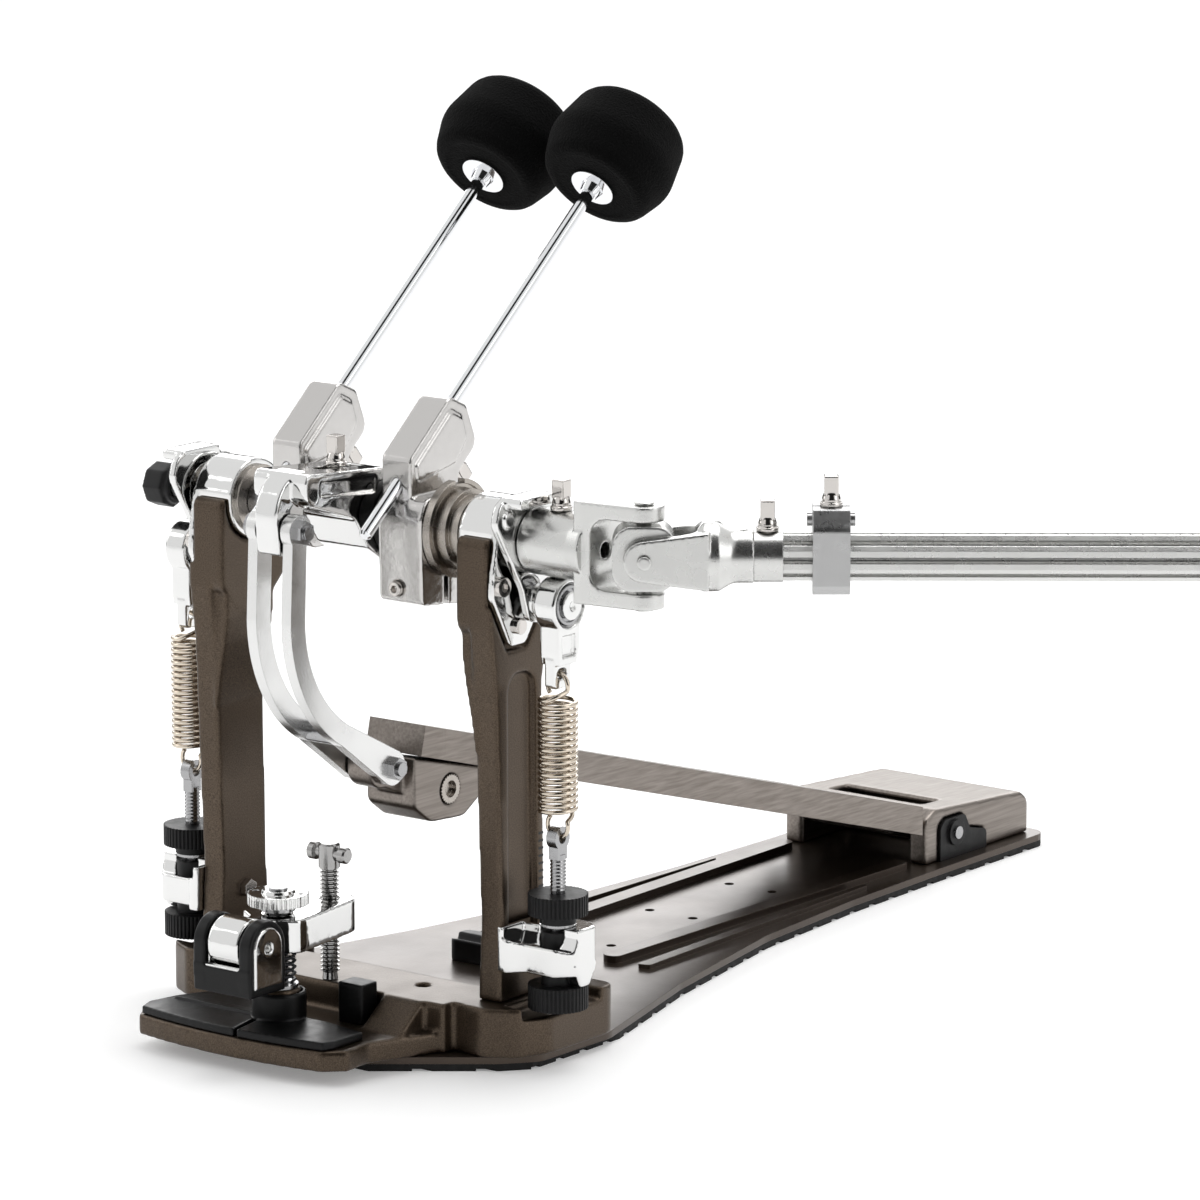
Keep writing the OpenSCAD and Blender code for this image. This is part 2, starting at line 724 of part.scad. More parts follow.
module memory_lock() {
  color("#a9abad") on_shaft(lock_s) difference() {
    union() {
      rotate([90, 0, 90]) linear_extrude(15) polygon(rounded([[-12.6, -14], [12.6, -14], [12.6, 13], [7, 20.5], [-7, 20.5], [-12.6, 13]],
        [4, 4, 4, 2, 2, 4]));
      for (x = [-2.2, 15]) translate([x, 0, 15]) rotate([0, 90, 0]) cylinder(r = 2.6, h = 2.2);
    }
    translate([-1, 0, 0]) rotate([90, 0, 90]) linear_extrude(17) polygon(octagon(shaft_width + 0.1));
    translate([-5, -0.9, 5]) cube([25, 1.8, 20]);
    translate([7.5, 0, 0]) cylinder(r = 2.6, h = 22);
  }
}

module shaft_key_bolts() {
  color("#a2937f") {
    on_shaft(lock_s + 7.5) translate([0, 0, 20.6]) key_bolt(8);
    on_shaft(49.5) translate([0, 0, 10.5]) key_bolt(1.2);
  }
}

tube_s0 = 228;

module outer_tube() {
  color("#3b3c3e") on_shaft() {
    difference() {
      translate([tube_s0, 0, 0]) rotate([90, 0, 90]) linear_extrude(shaft_length - 44 - tube_s0) polygon(octagon(25));
      translate([tube_s0 - 1, 0, 0]) rotate([90, 0, 90]) linear_extrude(shaft_length - 49 - tube_s0) polygon(octagon(shaft_width + 0.16));
    }
    // Spigot in the far fork
    translate([shaft_length - 44.5, 0, 0]) rotate([0, 90, 0]) cylinder(r = 7, h = 8.3);
  }
  tube_collar();
}

module tube_collar() {
  color("#c6c7c9") on_shaft(tube_s0 - 0.01) {
    difference() {
      translate([-gap, 0, 0]) rotate([0, 90, 0]) cylinder(r = 16.5, h = 22);
      translate([-1, 0, 0]) rotate([90, 0, 90]) linear_extrude(24) polygon(octagon(25));
      translate([11, 0, 8]) cylinder(r = 2.6, h = 20);
    }
    translate([11, 0, 16.4]) key_bolt(3.8);
  }
}

module fork_2() {
  color("#d0d1d3") on_shaft(shaft_length) rotate([0, 0, 180]) fork_shape();
}

module cross_2() {
  color("#c3c4c6") on_shaft(shaft_length) cross_piece();
}

module helper_yoke() {
  color("#d2d3d5") on_shaft(shaft_length) rotate([0, 0, 180 - shaft_turn]) {
    yoke(helper_axle_r, 55);
    translate([-bolt_back, 0, yoke_r]) key_bolt(6.7);
  }
}

// Hangers and springs
module hanger(x) {
  color("#c2c5c9") translate([x, hanger_y, hanger_z]) difference() {
    union() {
      rotate([0, 90, 0]) translate([0, 0, -5.5]) cylinder(r = 11.2, h = 11);
      translate([-4.8, -7.3, -24]) cube([9.6, 14.6, 17]);
      translate([-2.4, -6 - hanger_y, -34.5]) cube([4.8, 12, 12]);
    }
    rotate([0, 90, 0]) translate([0, 0, -10]) cylinder(r = 8.2, h = 20);
    // Slot that the spring hook hangs in
    for (y = [-1, 1]) translate([-6, y - hanger_y, top_hook_z - hanger_z]) rotate([0, 90, 0]) cylinder(r = 2.2, h = 12);
    translate([-6, -1 - hanger_y, top_hook_z - hanger_z - 2.2]) cube([12, 2, 4.4]);
  }
}

module hanger_bearing(x) {
  color("#8a7f72") difference() {
    bar_x(x - 5.2, x + 5.2, 8.2, hanger_y, hanger_z);
    bar_x(x - 8, x + 8, hanger_pin_r + run, hanger_y, hanger_z);
    for (e = [-6, 4.2]) difference() {
      bar_x(x + e, x + e + 1.8, 7, hanger_y, hanger_z);
      bar_x(x + e - 1, x + e + 3, 5.2, hanger_y, hanger_z);
    }
  }
}

module left_hanger() {
  hanger(-spring_x);
}

module right_hanger() {
  hanger(spring_x);
}

module left_hanger_bearing() {
  hanger_bearing(-spring_x);
}

module right_hanger_bearing() {
  hanger_bearing(spring_x);
}

hook_r = 5.2;
spring_mid_z = (top_hook_z + bottom_hook_z) / 2;
half_coils = (top_hook_z - bottom_hook_z) / 2 - 10.6;
turns = spring_turns + 0.5;
// Points of the upper half end: from the last turn in to the middle and round the hook, about the spring's middle
hook_centre = (top_hook_z - bottom_hook_z) / 2 - hook_r;
top_hook = concat(
  [for (k = [1:3]) let (f = k / 4) [4.7 * sin(90 * f), -spring_r * cos(90 * f), half_coils + (hook_centre - 2 - half_coils) * f]],
  [for (a = [-20:24:220]) [hook_r * cos(a), 0, hook_centre + hook_r * sin(a)]]);
helix = [for (i = [0:8 * turns]) let (a = 90 + 45 * i) [spring_r * cos(a), spring_r * sin(a), half_coils * (2 * i / (8 * turns) - 1)]];
spring_path = concat([for (i = [len(top_hook) - 1:-1:0]) [top_hook[i].x, -top_hook[i].y, -top_hook[i].z]], helix, top_hook);

// Tube of six sides along a path, its rings carried from one to the next without twist
module tube(path, r) {
  n = len(path);
  tangents = [for (i = [0:n - 1]) unit(path[min(i + 1, n - 1)] - path[max(i - 1, 0)])];
  first = unit(cross(tangents[0], [0.31, 0.87, 0.38]));
  sides = [for (i = 0, u = first; i < n; i = i + 1, u = i < n ? unit(u - (u * tangents[i]) * tangents[i]) : u) u];
  points = [for (i = [0:n - 1]) for (k = [0:5]) path[i] + r * (cos(60 * k) * sides[i] + sin(60 * k) * cross(tangents[i], sides[i]))];
  walls = [for (i = [0:n - 2]) for (k = [0:5]) let (a = 6 * i + k, b = 6 * i + (k + 1) % 6) each [[a, a + 6, b], [b, a + 6, b + 6]]];
  ends = [for (k = [1:4]) each [[0, k, k + 1], [6 * n - 6, 6 * n - 6 + k + 1, 6 * n - 6 + k]]];
  polyhedron(points = points, faces = concat(walls, ends));
}

// Least distance between points of a path that lie more than a third of a turn apart along it
function least_gap(path, skip, d) =
  min([for (i = [0:len(path) - 1 - skip]) min([for (j = [i + skip:len(path) - 1]) norm(path[i] - path[j])])]) - d;

echo("least gap of a return spring to itself, mm", least_gap(spring_path, 5, wire_d));

module right_spring() {
  color("#d8cfc0") translate([spring_x, 0, spring_mid_z]) tube(spring_path, wire_d / 2);
}

module left_spring() {
  color("#d8cfc0") translate([-spring_x, 0, spring_mid_z]) tube(spring_path, wire_d / 2);
}

clamp_coil = [for (i = [0:40]) let (a = 45 * i) [6.6 * cos(a), 6.6 * sin(a), 13.2 * i / 40]];
echo("least gap of the clamp spring to itself, mm", least_gap(clamp_coil, 5, 1.5));

module clamp_spring() {
  color("#3c3c3e") translate([clamp_x, dial_y, 33.4]) tube(clamp_coil, 0.75);
}

// Tension screws, knobs and brackets
module tension_screws() {
  color("#8f8a80") both_sides() translate([spring_x, 0, 0]) difference() {
    union() {
      translate([0, 0, 24]) cylinder(r = 3, h = 66);
      for (z = [75:1.5:88]) translate([0, 0, z]) cylinder(r1 = 3.35, r2 = 3, h = 0.75);
      translate([-2.4, 0, bottom_hook_z]) rotate([0, 90, 0]) cylinder(r = 4.8, h = 4.8);
      translate([-2.4, -3, 88]) cube([4.8, 6, 8]);
      // Washer under the upper knob
      translate([0, 0, 60]) cylinder(r = 7, h = 1.2);
    }
    translate([-5, 0, bottom_hook_z]) rotate([0, 90, 0]) cylinder(r = 2.3, h = 10);
  }
}

module upper_knob(x) {
  color("#161616") translate([x, 0, 0]) difference() {
    union() {
      translate([0, 0, 65]) knurled(12.5, 8.6, 44);
      translate([0, 0, 61.3]) cylinder(r = 7.6, h = 4);
    }
    translate([0, 0, 50]) cylinder(r = 3 + run, h = 40);
  }
}

module left_upper_knob() {
  upper_knob(-spring_x);
}

module right_upper_knob() {
  upper_knob(spring_x);
}

module lower_knobs() {
  color("#161616") both_sides() translate([spring_x, 0, 0]) difference() {
    union() {
      translate([0, 0, 25.4]) knurled(12.5, 10, 44);
      translate([0, 0, 35]) cylinder(r = 7, h = 23);
    }
    translate([0, 0, 20]) cylinder(r = 3, h = 40);
  }
}

module tension_brackets() {
  color("#c8cbcf") both_sides() difference() {
    union() {
      slab(41, 60) polygon(rounded([[post_outer_x, -18], [86, -18], [90, -12.5], [106, -12.5], [112.5, -5], [112.5, 8], [106, 13], [post_outer_x, 13]],
        [1, 2, 4, 5, 4, 4, 5, 1]));
      // Pointed lobe at the outer side
      across(105, 112.5) polygon(rounded([[-6, 45], [-2, 35.8], [4, 35.8], [9, 45]], [0, 2, 2, 0]));
    }
    translate([spring_x, 0, 30]) cylinder(r = 7.1, h = 40);
    bar_x(post_outer_x - 1, post_outer_x + 7, 2.15, 0, 50);
    // Waist in the outer band
    across(84, 120) polygon([[-20, 63], [-20, 56], [-6, 51], [-4, 56.5], [-4, 63]]);
    translate([spring_x, 0, 30]) cylinder(r = 13, h = 5.8);
  }
}

module bracket_bolts() {
  color("#909396") both_sides() {
    bar_x(post_inner_x - 3, post_outer_x + 7, 2.15, 0, 50);
    translate([post_inner_x - 3.2, 0, 50]) rotate([0, 90, 0]) cylinder(r = 4, h = 3.2, $fn = 6);
  }
}

// Link
module arm_outline() {
  // Straight from the top eye, a sixth of a circle, straight to the foot
  arc_centre = [0, 185];
  intersection() {
    difference() {
      translate(arc_centre) circle(r = 64.8, $fn = 96);
      translate(arc_centre) circle(r = 55.6, $fn = 96);
    }
    polygon([arc_centre, arc_centre + [-90, 0], arc_centre + [-90, -90], arc_centre + 90 * [-cos(60), -sin(60)]]);
  }
  polygon([[-64.8, 185], [-55.6, 185], [link_top.x + 4, link_top.y], [link_top.x - 5, link_top.y]]);
  polygon([arc_centre + 55.6 * [-cos(60), -sin(60)], arc_centre + 64.8 * [-cos(60), -sin(60)], link_foot + [-4, -6.4], link_foot + [4, 6.4]]);
  translate(link_top) circle(r = 7);
  translate(link_foot) circle(r = 7.4);
}

module link_arms() {
  color("#d3d5d8") difference() {
    for (s = [-1, 1]) across(s > 0 ? 6.75 : -11.75, s > 0 ? 11.75 : -6.75) arm_outline();
    bar_x(-20, 20, pivot_r, link_top.x, link_top.y);
    bar_x(-20, 20, pivot_r, link_foot.x, link_foot.y);
  }
}

module link_pins() {
  color("#a5a199") {
    for (p = [link_top, link_foot]) {
      bar_x(-14.5, 16.5, pivot_r, p.x, p.y);
      bar_x(-14.5, -11.75, 5.2, p.x, p.y);
      translate([11.75, p.x, p.y]) rotate([0, 90, 0]) cylinder(r = 4.9, h = 3.4, $fn = 6);
    }
    // Dark spacer that holds the arms apart
    bar_x(-6.75, 6.75, 4.2, -30.5, 132.6);
  }
}

// Footboard group
// Y and Z of the board's top at the given depth
function board_z(y) = nose_z - (y - 18) * tan(board_slope);
rail_drop = 13.5;

module footboard() {
  color("#6f675c") difference() {
    union() {
      intersection() {
        across(-60, 60) polygon([[18, board_z(18)], [board_end_y, board_z(board_end_y)], [board_end_y, board_z(board_end_y) - rail_drop],
          [18 - 3, board_z(18 - 3) - rail_drop]]);
        slab(0, 200) polygon([[-nose_half, 10], [nose_half, 10], [nose_half, 24], [board_half, board_end_y], [-board_half, board_end_y],
          [-nose_half, 24]]);
      }
      // Tongue and barrel of the heel hinge
      across(-22, 22) polygon([[board_end_y - 10, 27.6], [board_end_y + 6, heel_pin_z + 7.8], [heel_pin_y, heel_pin_z + 6.4],
        [heel_pin_y, heel_pin_z - 5.5], [board_end_y + 4, heel_pin_z + 0.5], [board_end_y - 10, 24.4]]);
      bar_x(-22, 22, 6.5, heel_pin_y, heel_pin_z);
    }
    // Hollow underside between the rails, two fields
    for (r = [[70, 190], [202, 330]])
      intersection() {
        across(-60, 60) polygon([[r[0], board_z(r[0]) - 4], [r[1], board_z(r[1]) - 4], [r[1], board_z(r[1]) - 30], [r[0], board_z(r[0]) - 30]]);
        slab(0, 200) polygon([[-nose_half + 6, 24], [nose_half - 6, 24], [board_half - 6, board_end_y], [-board_half + 6, board_end_y]]);
      }
    // Rows of round holes through the plate
    for (y = [96:26:174]) translate([0, y, 0]) cylinder(r = 5, h = 200);
    for (y = [226:26:304]) for (s = [-1, 1]) translate([s * 12, y, 0]) cylinder(r = 5, h = 200);
    bar_x(-60, 60, 3 + run, heel_pin_y, heel_pin_z);
    // Groove at the joint of the nose cap and its screw pocket
    for (s = [-1, 1]) translate([s * (nose_half + 2.2), 30, 90]) cylinder(r = 1.8, h = 60);
  }
}

// Carrier under the nose that the link's foot pivots in
module link_carrier() {
  color("#8b8378") difference() {
    union() {
      bar_x(-6.2, 6.2, 9.4, link_foot.x, link_foot.y);
      across(-6.2, 6.2) polygon([[-4, 121.8], [16, 112.5], [16, 98], [2, 104.2]]);
      across(-13, 13) polygon(rounded([[13, board_z(13) - rail_drop - 1.4], [60, board_z(60) - rail_drop], [57, 91], [46, 84.5], [24, 86], [13, 94]],
        [0, 0, 5, 8, 8, 5]));
    }
    bar_x(-20, 20, pivot_r + foot_play, link_foot.x, link_foot.y);
    bar_x(-20, 20, 6.5, 37, 98);
    // Top face follows the underside of the board
    across(-20, 20) polygon([[0, board_z(0) - rail_drop], [70, board_z(70) - rail_drop], [70, 140], [0, 140]]);
  }
}

module adjuster_wheel() {
  color("#b6a993") {
    difference() {
      translate([-13.2, 37, 98]) rotate([0, 90, 0]) knurled(6.4, 26.4, 26);
      bar_x(11, 15, 3.6, 37, 98);
      bar_x(-15, -11, 3.6, 37, 98);
    }
  }
}

module heel_block() {
  color("#8a8176") difference() {
    across(-40, 40) polygon(rounded([[352, plate_top_z], [352, 27], [360, 31], [430, 26.5], [436, 22], [436, plate_top_z]], [0, 3, 4, 5, 5, 0]));
    // Window in the top and the hollow for the board's tongue
    translate([-26, 367, 0]) cube([52, 15, 60]);
    translate([-30, 340, 0]) cube([60, 48, 26.6]);
    translate([-34, 394, 0]) cube([68, 36, 22]);
    // Pockets of the side bushes
    for (s = [-1, 1]) across(s > 0 ? 36 : -41, s > 0 ? 41 : -36) polygon(rounded([[362, 0], [362, 22], [366, 25.5], [382, 25.5], [386, 18], [400, 15],
      [400, 0]], [0, 3, 3, 3, 3, 3, 0]));
    bar_x(-60, 60, 6.1, heel_pin_y, heel_pin_z);
  }
}

module heel_bushes() {
  color("#26262a") both_sides() difference() {
    union() {
      across(36.2, 41) polygon(rounded([[362.2, plate_top_z], [362.2, 22], [366, 25.2], [382, 25.2], [386, 17.8], [399.8, 14.8],
        [399.8, plate_top_z]], [0, 3, 3, 3, 3, 3, 0]));
      bar_x(30, 42.4, 6.05, heel_pin_y, heel_pin_z);
    }
    bar_x(0, 60, 3, heel_pin_y, heel_pin_z);
  }
}

module hinge_pin() {
  color("#c7b9a2") bar_x(-43.4, 43.4, 3, heel_pin_y, heel_pin_z);
}

// Pieces that share a node are separate solids of one kind
module rubber_stops() {
  plate_bumper();
  stop_block();
}

module shoe() {
  clamp_shoe();
  shoe_pin_rod();
}

module axle_trim() {
  axle_end_cap();
  hub_spacer();
}

module bearing_housings() {
  left_housing();
  right_housing();
}

module axle_bearings() {
  left_bearing();
  right_bearing();
}

module post_screws() {
  housing_screws();
  bracket_bolts();
}

base_plate();
base_rubber();
rubber_stops();
front_casting();
hoop_pads();
clamp_jaw();
shoe();
shoe_rubber();
clamp_bolt();
clamp_dial();
t_bolt();
clamp_spring();
left_post();
right_post();
bearing_housings();
axle_bearings();
post_screws();
main_axle();
axle_trim();
left_lever();
right_lever();
rocker();
beater_holder_1();
beater_holder_2();
main_key_bolts();
near_key_bolts();
beater_rod_1();
beater_rod_2();
beater_head_1();
beater_head_2();
near_hub();
yoke_1();
cross_1();
fork_1();
inner_shaft();
memory_lock();
shaft_key_bolts();
outer_tube();
fork_2();
cross_2();
helper_yoke();
left_hanger();
right_hanger();
left_hanger_bearing();
right_hanger_bearing();
left_spring();
right_spring();
tension_screws();
left_upper_knob();
right_upper_knob();
lower_knobs();
tension_brackets();
link_arms();
link_pins();
footboard();
link_carrier();
adjuster_wheel();
heel_block();
heel_bushes();
hinge_pin();
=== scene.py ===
"""Double bass drum pedal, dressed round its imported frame.

Metres: +X runs along the rocker axle, +Y to the heel and +Z up. Outlines of new pieces are in millimetres.
"""
import json
import math

import bmesh
import bpy
import numpy as np
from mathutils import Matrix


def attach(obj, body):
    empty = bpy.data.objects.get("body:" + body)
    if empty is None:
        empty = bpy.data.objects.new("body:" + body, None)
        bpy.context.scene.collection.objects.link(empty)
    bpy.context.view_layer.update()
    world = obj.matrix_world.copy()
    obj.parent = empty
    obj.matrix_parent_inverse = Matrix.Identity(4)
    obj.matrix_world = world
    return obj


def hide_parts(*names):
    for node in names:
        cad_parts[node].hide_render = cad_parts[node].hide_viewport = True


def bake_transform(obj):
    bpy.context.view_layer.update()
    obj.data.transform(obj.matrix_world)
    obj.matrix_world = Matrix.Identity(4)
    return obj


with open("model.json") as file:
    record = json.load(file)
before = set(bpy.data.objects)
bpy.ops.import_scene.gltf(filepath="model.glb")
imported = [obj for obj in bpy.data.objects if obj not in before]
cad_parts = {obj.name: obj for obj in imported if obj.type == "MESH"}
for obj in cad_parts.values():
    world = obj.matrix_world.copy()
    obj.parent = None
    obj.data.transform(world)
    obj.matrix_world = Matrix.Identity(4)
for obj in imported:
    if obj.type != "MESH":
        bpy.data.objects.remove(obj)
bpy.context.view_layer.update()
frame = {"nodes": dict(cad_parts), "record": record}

# Base plate: 3 mm steel sheet, pressed into long ridges, then sprayed and baked with a dark brown satin
# paint. It is screwed under the front casting and carries the heel block. The paint has a soft broad
# sheen, which its fine orange peel of about 1.2 mm breaks a little.
dark_brown, light_brown = "#40362f", "#4d4239"
colour_a, colour_b, mixed_colour = 6, 7, 2  # colour inputs and colour output of Blender's Mix node


def linear(hex_colour):
    """Linear colour of an sRGB hex value, by the sRGB transfer curve on each channel."""
    share = np.array([int(hex_colour[start : start + 2], 16) / 255 for start in (1, 3, 5)])
    return (*np.where(share <= 0.04045, share / 12.92, ((share + 0.055) / 1.055) ** 2.4).tolist(), 1.0)


def add(tree, kind, sockets=None, **settings):
    """One shader node: settings are its attributes, sockets its inputs, each a value or an output to link."""
    made = tree.nodes.new(kind)
    for key, value in settings.items():
        setattr(made, key, value)
    for key, value in (sockets or {}).items():
        if isinstance(value, bpy.types.NodeSocket):
            tree.links.new(value, made.inputs[key])
        else:
            made.inputs[key].default_value = value
    return made


def new_finish(name):
    """A material, its empty node tree and its object coordinates."""
    material = bpy.data.materials.new(name)
    material.use_nodes = True
    material.node_tree.nodes.clear()
    place = add(material.node_tree, "ShaderNodeTexCoord").outputs["Object"]
    return material, material.node_tree, place


def lay_finish(tree, sockets):
    """Ends a material's node tree: its shader with those sockets, linked to its output."""
    shader = add(tree, "ShaderNodeBsdfPrincipled", sockets)
    add(tree, "ShaderNodeOutputMaterial", {"Surface": shader.outputs[0]})


def dress(material, *names):
    """Gives CAD nodes their material."""
    for name in names:
        mesh = frame["nodes"][name].data
        mesh.materials.clear()
        mesh.materials.append(material)


def mottled(tree, place, size_mm, low=0.0, high=1.0, detail=3.0, stretch=(1, 1, 1)):
    """Noise with features of that size, whose middle range, 0.3 to 0.7, is spread from low to high."""
    drawn = add(tree, "ShaderNodeMapping", {"Vector": place, "Scale": stretch}).outputs[0]
    noise = add(tree, "ShaderNodeTexNoise", {"Vector": drawn, "Scale": 1000 / size_mm, "Detail": detail})
    spread = add(tree, "ShaderNodeMapRange", {
        "Value": noise.outputs[0], "From Min": 0.3, "From Max": 0.7, "To Min": low, "To Max": high})
    return spread.outputs[0]


def skin(tree, height, depth_mm, edge_mm):
    """Normal of a surface with a relief of depth_mm, whose edges are rounded to edge_mm."""
    edge = add(tree, "ShaderNodeBevel", {"Radius": edge_mm / 1000}, samples=4).outputs[0]
    return add(tree, "ShaderNodeBump", {
        "Height": height, "Distance": depth_mm / 1000, "Strength": 1.0, "Normal": edge}).outputs[0]


plate_paint, tree, place = new_finish("baked_brown_paint_on_steel")
peel = mottled(tree, place, 1.2)
clouds = mottled(tree, place, 60)
shade = add(tree, "ShaderNodeMix", {
    "Factor": clouds, colour_a: linear(dark_brown), colour_b: linear(light_brown)},
    data_type="RGBA").outputs[mixed_colour]
lay_finish(tree, {
    "Base Color": shade, "Metallic": 0.75, "Roughness": mottled(tree, place, 25, 0.28, 0.36),
    "Coat Weight": 0.25, "Coat Roughness": 0.25, "Normal": skin(tree, peel, 0.012, 0.5)})
dress(plate_paint, "base_plate")

# Floor rubber: a black sheet moulded with cross ribs and glued under the plate, so that the pedal doesn't
# creep. It is dull, with a faint grain.
floor_rubber, tree, place = new_finish("moulded_floor_rubber")
lay_finish(tree, {
    "Base Color": linear("#121212"), "Roughness": mottled(tree, place, 3, 0.62, 0.78),
    "Specular IOR Level": 0.35, "Normal": skin(tree, mottled(tree, place, 0.6), 0.03, 0.4)})
dress(floor_rubber, "base_rubber")

# Front casting and the two posts: gravity-cast aluminium with generous rounded edges, blasted and painted
# in a bronze-brown metallic. Its flakes give warm light on faces turned to the lamps. The posts stand on
# the foot blocks of the casting.
bronze_paint, tree, place = new_finish("bronze_flake_paint_on_cast_aluminium")
flakes = mottled(tree, place, 0.5, detail=1.0)
shade = add(tree, "ShaderNodeMix", {
    "Factor": flakes, colour_a: linear("#3d3329"), colour_b: linear("#594c3f")},
    data_type="RGBA").outputs[mixed_colour]
lay_finish(tree, {
    "Base Color": shade, "Metallic": 0.9, "Roughness": mottled(tree, place, 18, 0.33, 0.4),
    "Coat Weight": 0.2, "Coat Roughness": 0.25, "Normal": skin(tree, mottled(tree, place, 1.6), 0.02, 0.9)})
homes = {node: body for body, nodes in frame["record"]["behaviour"]["bodies"].items() for node in nodes}
along_x, along_y, along_z = 0, 1, 2  # an axis is named by its column in an array of points
weld_m = 2e-6


def joined(shells):
    """One mesh of closed shells, with their faces turned outwards.

    A shell is a pair: its points in millimetres, and its faces.
    """
    starts = np.cumsum([0] + [len(points) for points, faces in shells])
    corners = np.vstack([points for points, faces in shells]) / 1000
    walls = [(np.array(face) + start).tolist()
             for start, (points, faces) in zip(starts, shells) for face in faces]
    mesh = bpy.data.meshes.new("shells")
    mesh.from_pydata(corners.tolist(), [], walls)
    work = bmesh.new()
    work.from_mesh(mesh)
    bmesh.ops.recalc_face_normals(work, faces=work.faces)
    work.to_mesh(mesh)
    work.free()
    return mesh


def prism(outline, axis, low, high):
    """A closed outline in millimetres carried straight along an axis from low to high.

    The outline's two columns are the other two axes in their order X, Y, Z.
    """
    flat = np.asarray(outline, float)
    count = len(flat)
    points = np.vstack([np.insert(flat, axis, low, 1), np.insert(flat, axis, high, 1)])
    here = np.arange(count)
    after = (here + 1) % count
    walls = np.stack([here, after, after + count, here + count], 1).tolist()
    return points, walls + [here[::-1].tolist(), (here + count).tolist()]


def arc(centre, radius, start, end, steps=12):
    """Points of a circle about a centre from one angle in degrees to another."""
    angle = np.radians(np.linspace(start, end, steps))
    return np.stack([centre[0] + radius * np.cos(angle), centre[1] + radius * np.sin(angle)], 1)


def lathe_faces(rows, sides):
    """Faces of a tube made of that many rings, each with that many sides, and of its two flat ends."""
    row, side = np.meshgrid(np.arange(rows - 1), np.arange(sides), indexing="ij")
    after = (side + 1) % sides
    corners = [row * sides + side, row * sides + after, (row + 1) * sides + after, (row + 1) * sides + side]
    walls = np.stack(corners, -1).reshape(-1, 4).tolist()
    first_end = np.arange(sides)[::-1].tolist()
    last_end = (np.arange(sides) + (rows - 1) * sides).tolist()
    return walls + [first_end, last_end]


def turned(profile, axis, centre=(0, 0, 0), sides=48):
    """Surface of revolution about an axis: profile rows are place along it and radius, in millimetres."""
    reach, radius = np.asarray(profile, float).T
    angle = 2 * np.pi * np.arange(sides) / sides
    circle = np.stack([np.cos(angle), np.sin(angle)], 1)
    rings = np.insert(radius[:, None, None] * circle[None], axis, reach[:, None], 2)
    return rings.reshape(-1, 3) + centre, lathe_faces(len(reach), sides)


def rod(radius, low, high, axis, centre=(0, 0, 0)):
    """Plain cylinder about an axis from low to high, in millimetres."""
    return turned([(low, radius), (high, radius)], axis, centre)


def merged(node, shells=()):
    """A copy of a CAD node's mesh, its loose triangles joined along their edges, with more shells added."""
    work = bmesh.new()
    work.from_mesh(frame["nodes"][node].data)
    bmesh.ops.remove_doubles(work, verts=work.verts, dist=weld_m)
    if shells:
        work.from_mesh(joined(shells))
    mesh = bpy.data.meshes.new(node + "_copy")
    work.to_mesh(mesh)
    work.free()
    return mesh


def put(name, data):
    """An object with that data in the scene, at the origin."""
    made = bpy.data.objects.new(name, data)
    bpy.context.scene.collection.objects.link(made)
    return made


def cast(mesh, grain_mm, passes, cuts=()):
    """The mesh as a casting: less the cuts, laid on cells grain_mm wide, then evened out to round it."""
    mould = put("mould", mesh)
    core = put("core", joined(cuts)) if cuts else None
    if core:
        hollow = mould.modifiers.new("hollow", "BOOLEAN")
        hollow.object = core
        hollow.use_self = True
    cells = mould.modifiers.new("cells", "REMESH")
    cells.mode = "VOXEL"
    cells.voxel_size = grain_mm / 1000
    even = mould.modifiers.new("even", "SMOOTH")
    even.iterations = passes
    made = bpy.data.meshes.new_from_object(mould.evaluated_get(bpy.context.evaluated_depsgraph_get()))
    bpy.data.objects.remove(mould)
    if core:
        bpy.data.objects.remove(core)
    return made


def stand_in(name, mesh, material, node):
    """Makes a mesh the piece that stands for a CAD node, on that node's body and in its material slot."""
    mesh.materials.clear()
    mesh.materials.append(material)
    mesh.polygons.foreach_set("material_index", np.zeros(len(mesh.polygons), int))
    mesh.polygons.foreach_set("use_smooth", np.ones(len(mesh.polygons), bool))
    piece = put(name, mesh)
    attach(piece, homes[node])
    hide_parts(node)
    return piece


def soften(node, how_made, grain_mm, passes, material, shells=()):
    """Stands a copy of a CAD node with cast edges in its place; its name tells how the piece was made."""
    stand_in(f"{node}_{how_made}", cast(merged(node, shells), grain_mm, passes), material, node)


def ramp(side):
    """Wedge that leads a post's thick head into its shaft; side is -1 for the left post, 1 for the right."""
    shaft_face, head_face, post_front, post_back = 70.5, 62.8, -17.6, 12.8
    outline = np.array([[shaft_face, 190], [head_face, 190], [head_face, 172], [64.6, 160], [67.4, 146],
                        [69.4, 132], [shaft_face, 132]])
    return [prism(outline * [side, 1], along_y, post_front, post_back)]


soften("front_casting", "cast", 0.9, 12, bronze_paint)
soften("left_post", "cast", 0.8, 12, bronze_paint, ramp(-1))
soften("right_post", "cast", 0.8, 12, bronze_paint, ramp(1))

# Height scale on the near post: plain ticks, screen-printed in black ink on the outer face behind the
# bracket. The ink lies 0.06 mm proud of the paint.
post_face, tick_y, lowest_tick, tick_step = 0.081, 0.0117, 0.062, 0.0032
tick_half_width, tick_half_height, ink_rise = 0.0016, 0.0005, 0.00006
tick_count = 11
square = np.array([[-1, -1], [1, -1], [1, 1], [-1, 1]], float)


def plates(name, corners, material, body):
    """Separate flat quads in one mesh; corners is an array of quads x 4 x 3, in metres."""
    mesh = bpy.data.meshes.new(name)
    count = len(corners)
    mesh.from_pydata(corners.reshape(-1, 3).tolist(), [], np.arange(4 * count).reshape(-1, 4).tolist())
    mesh.materials.append(material)
    piece = put(name, mesh)
    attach(piece, body)


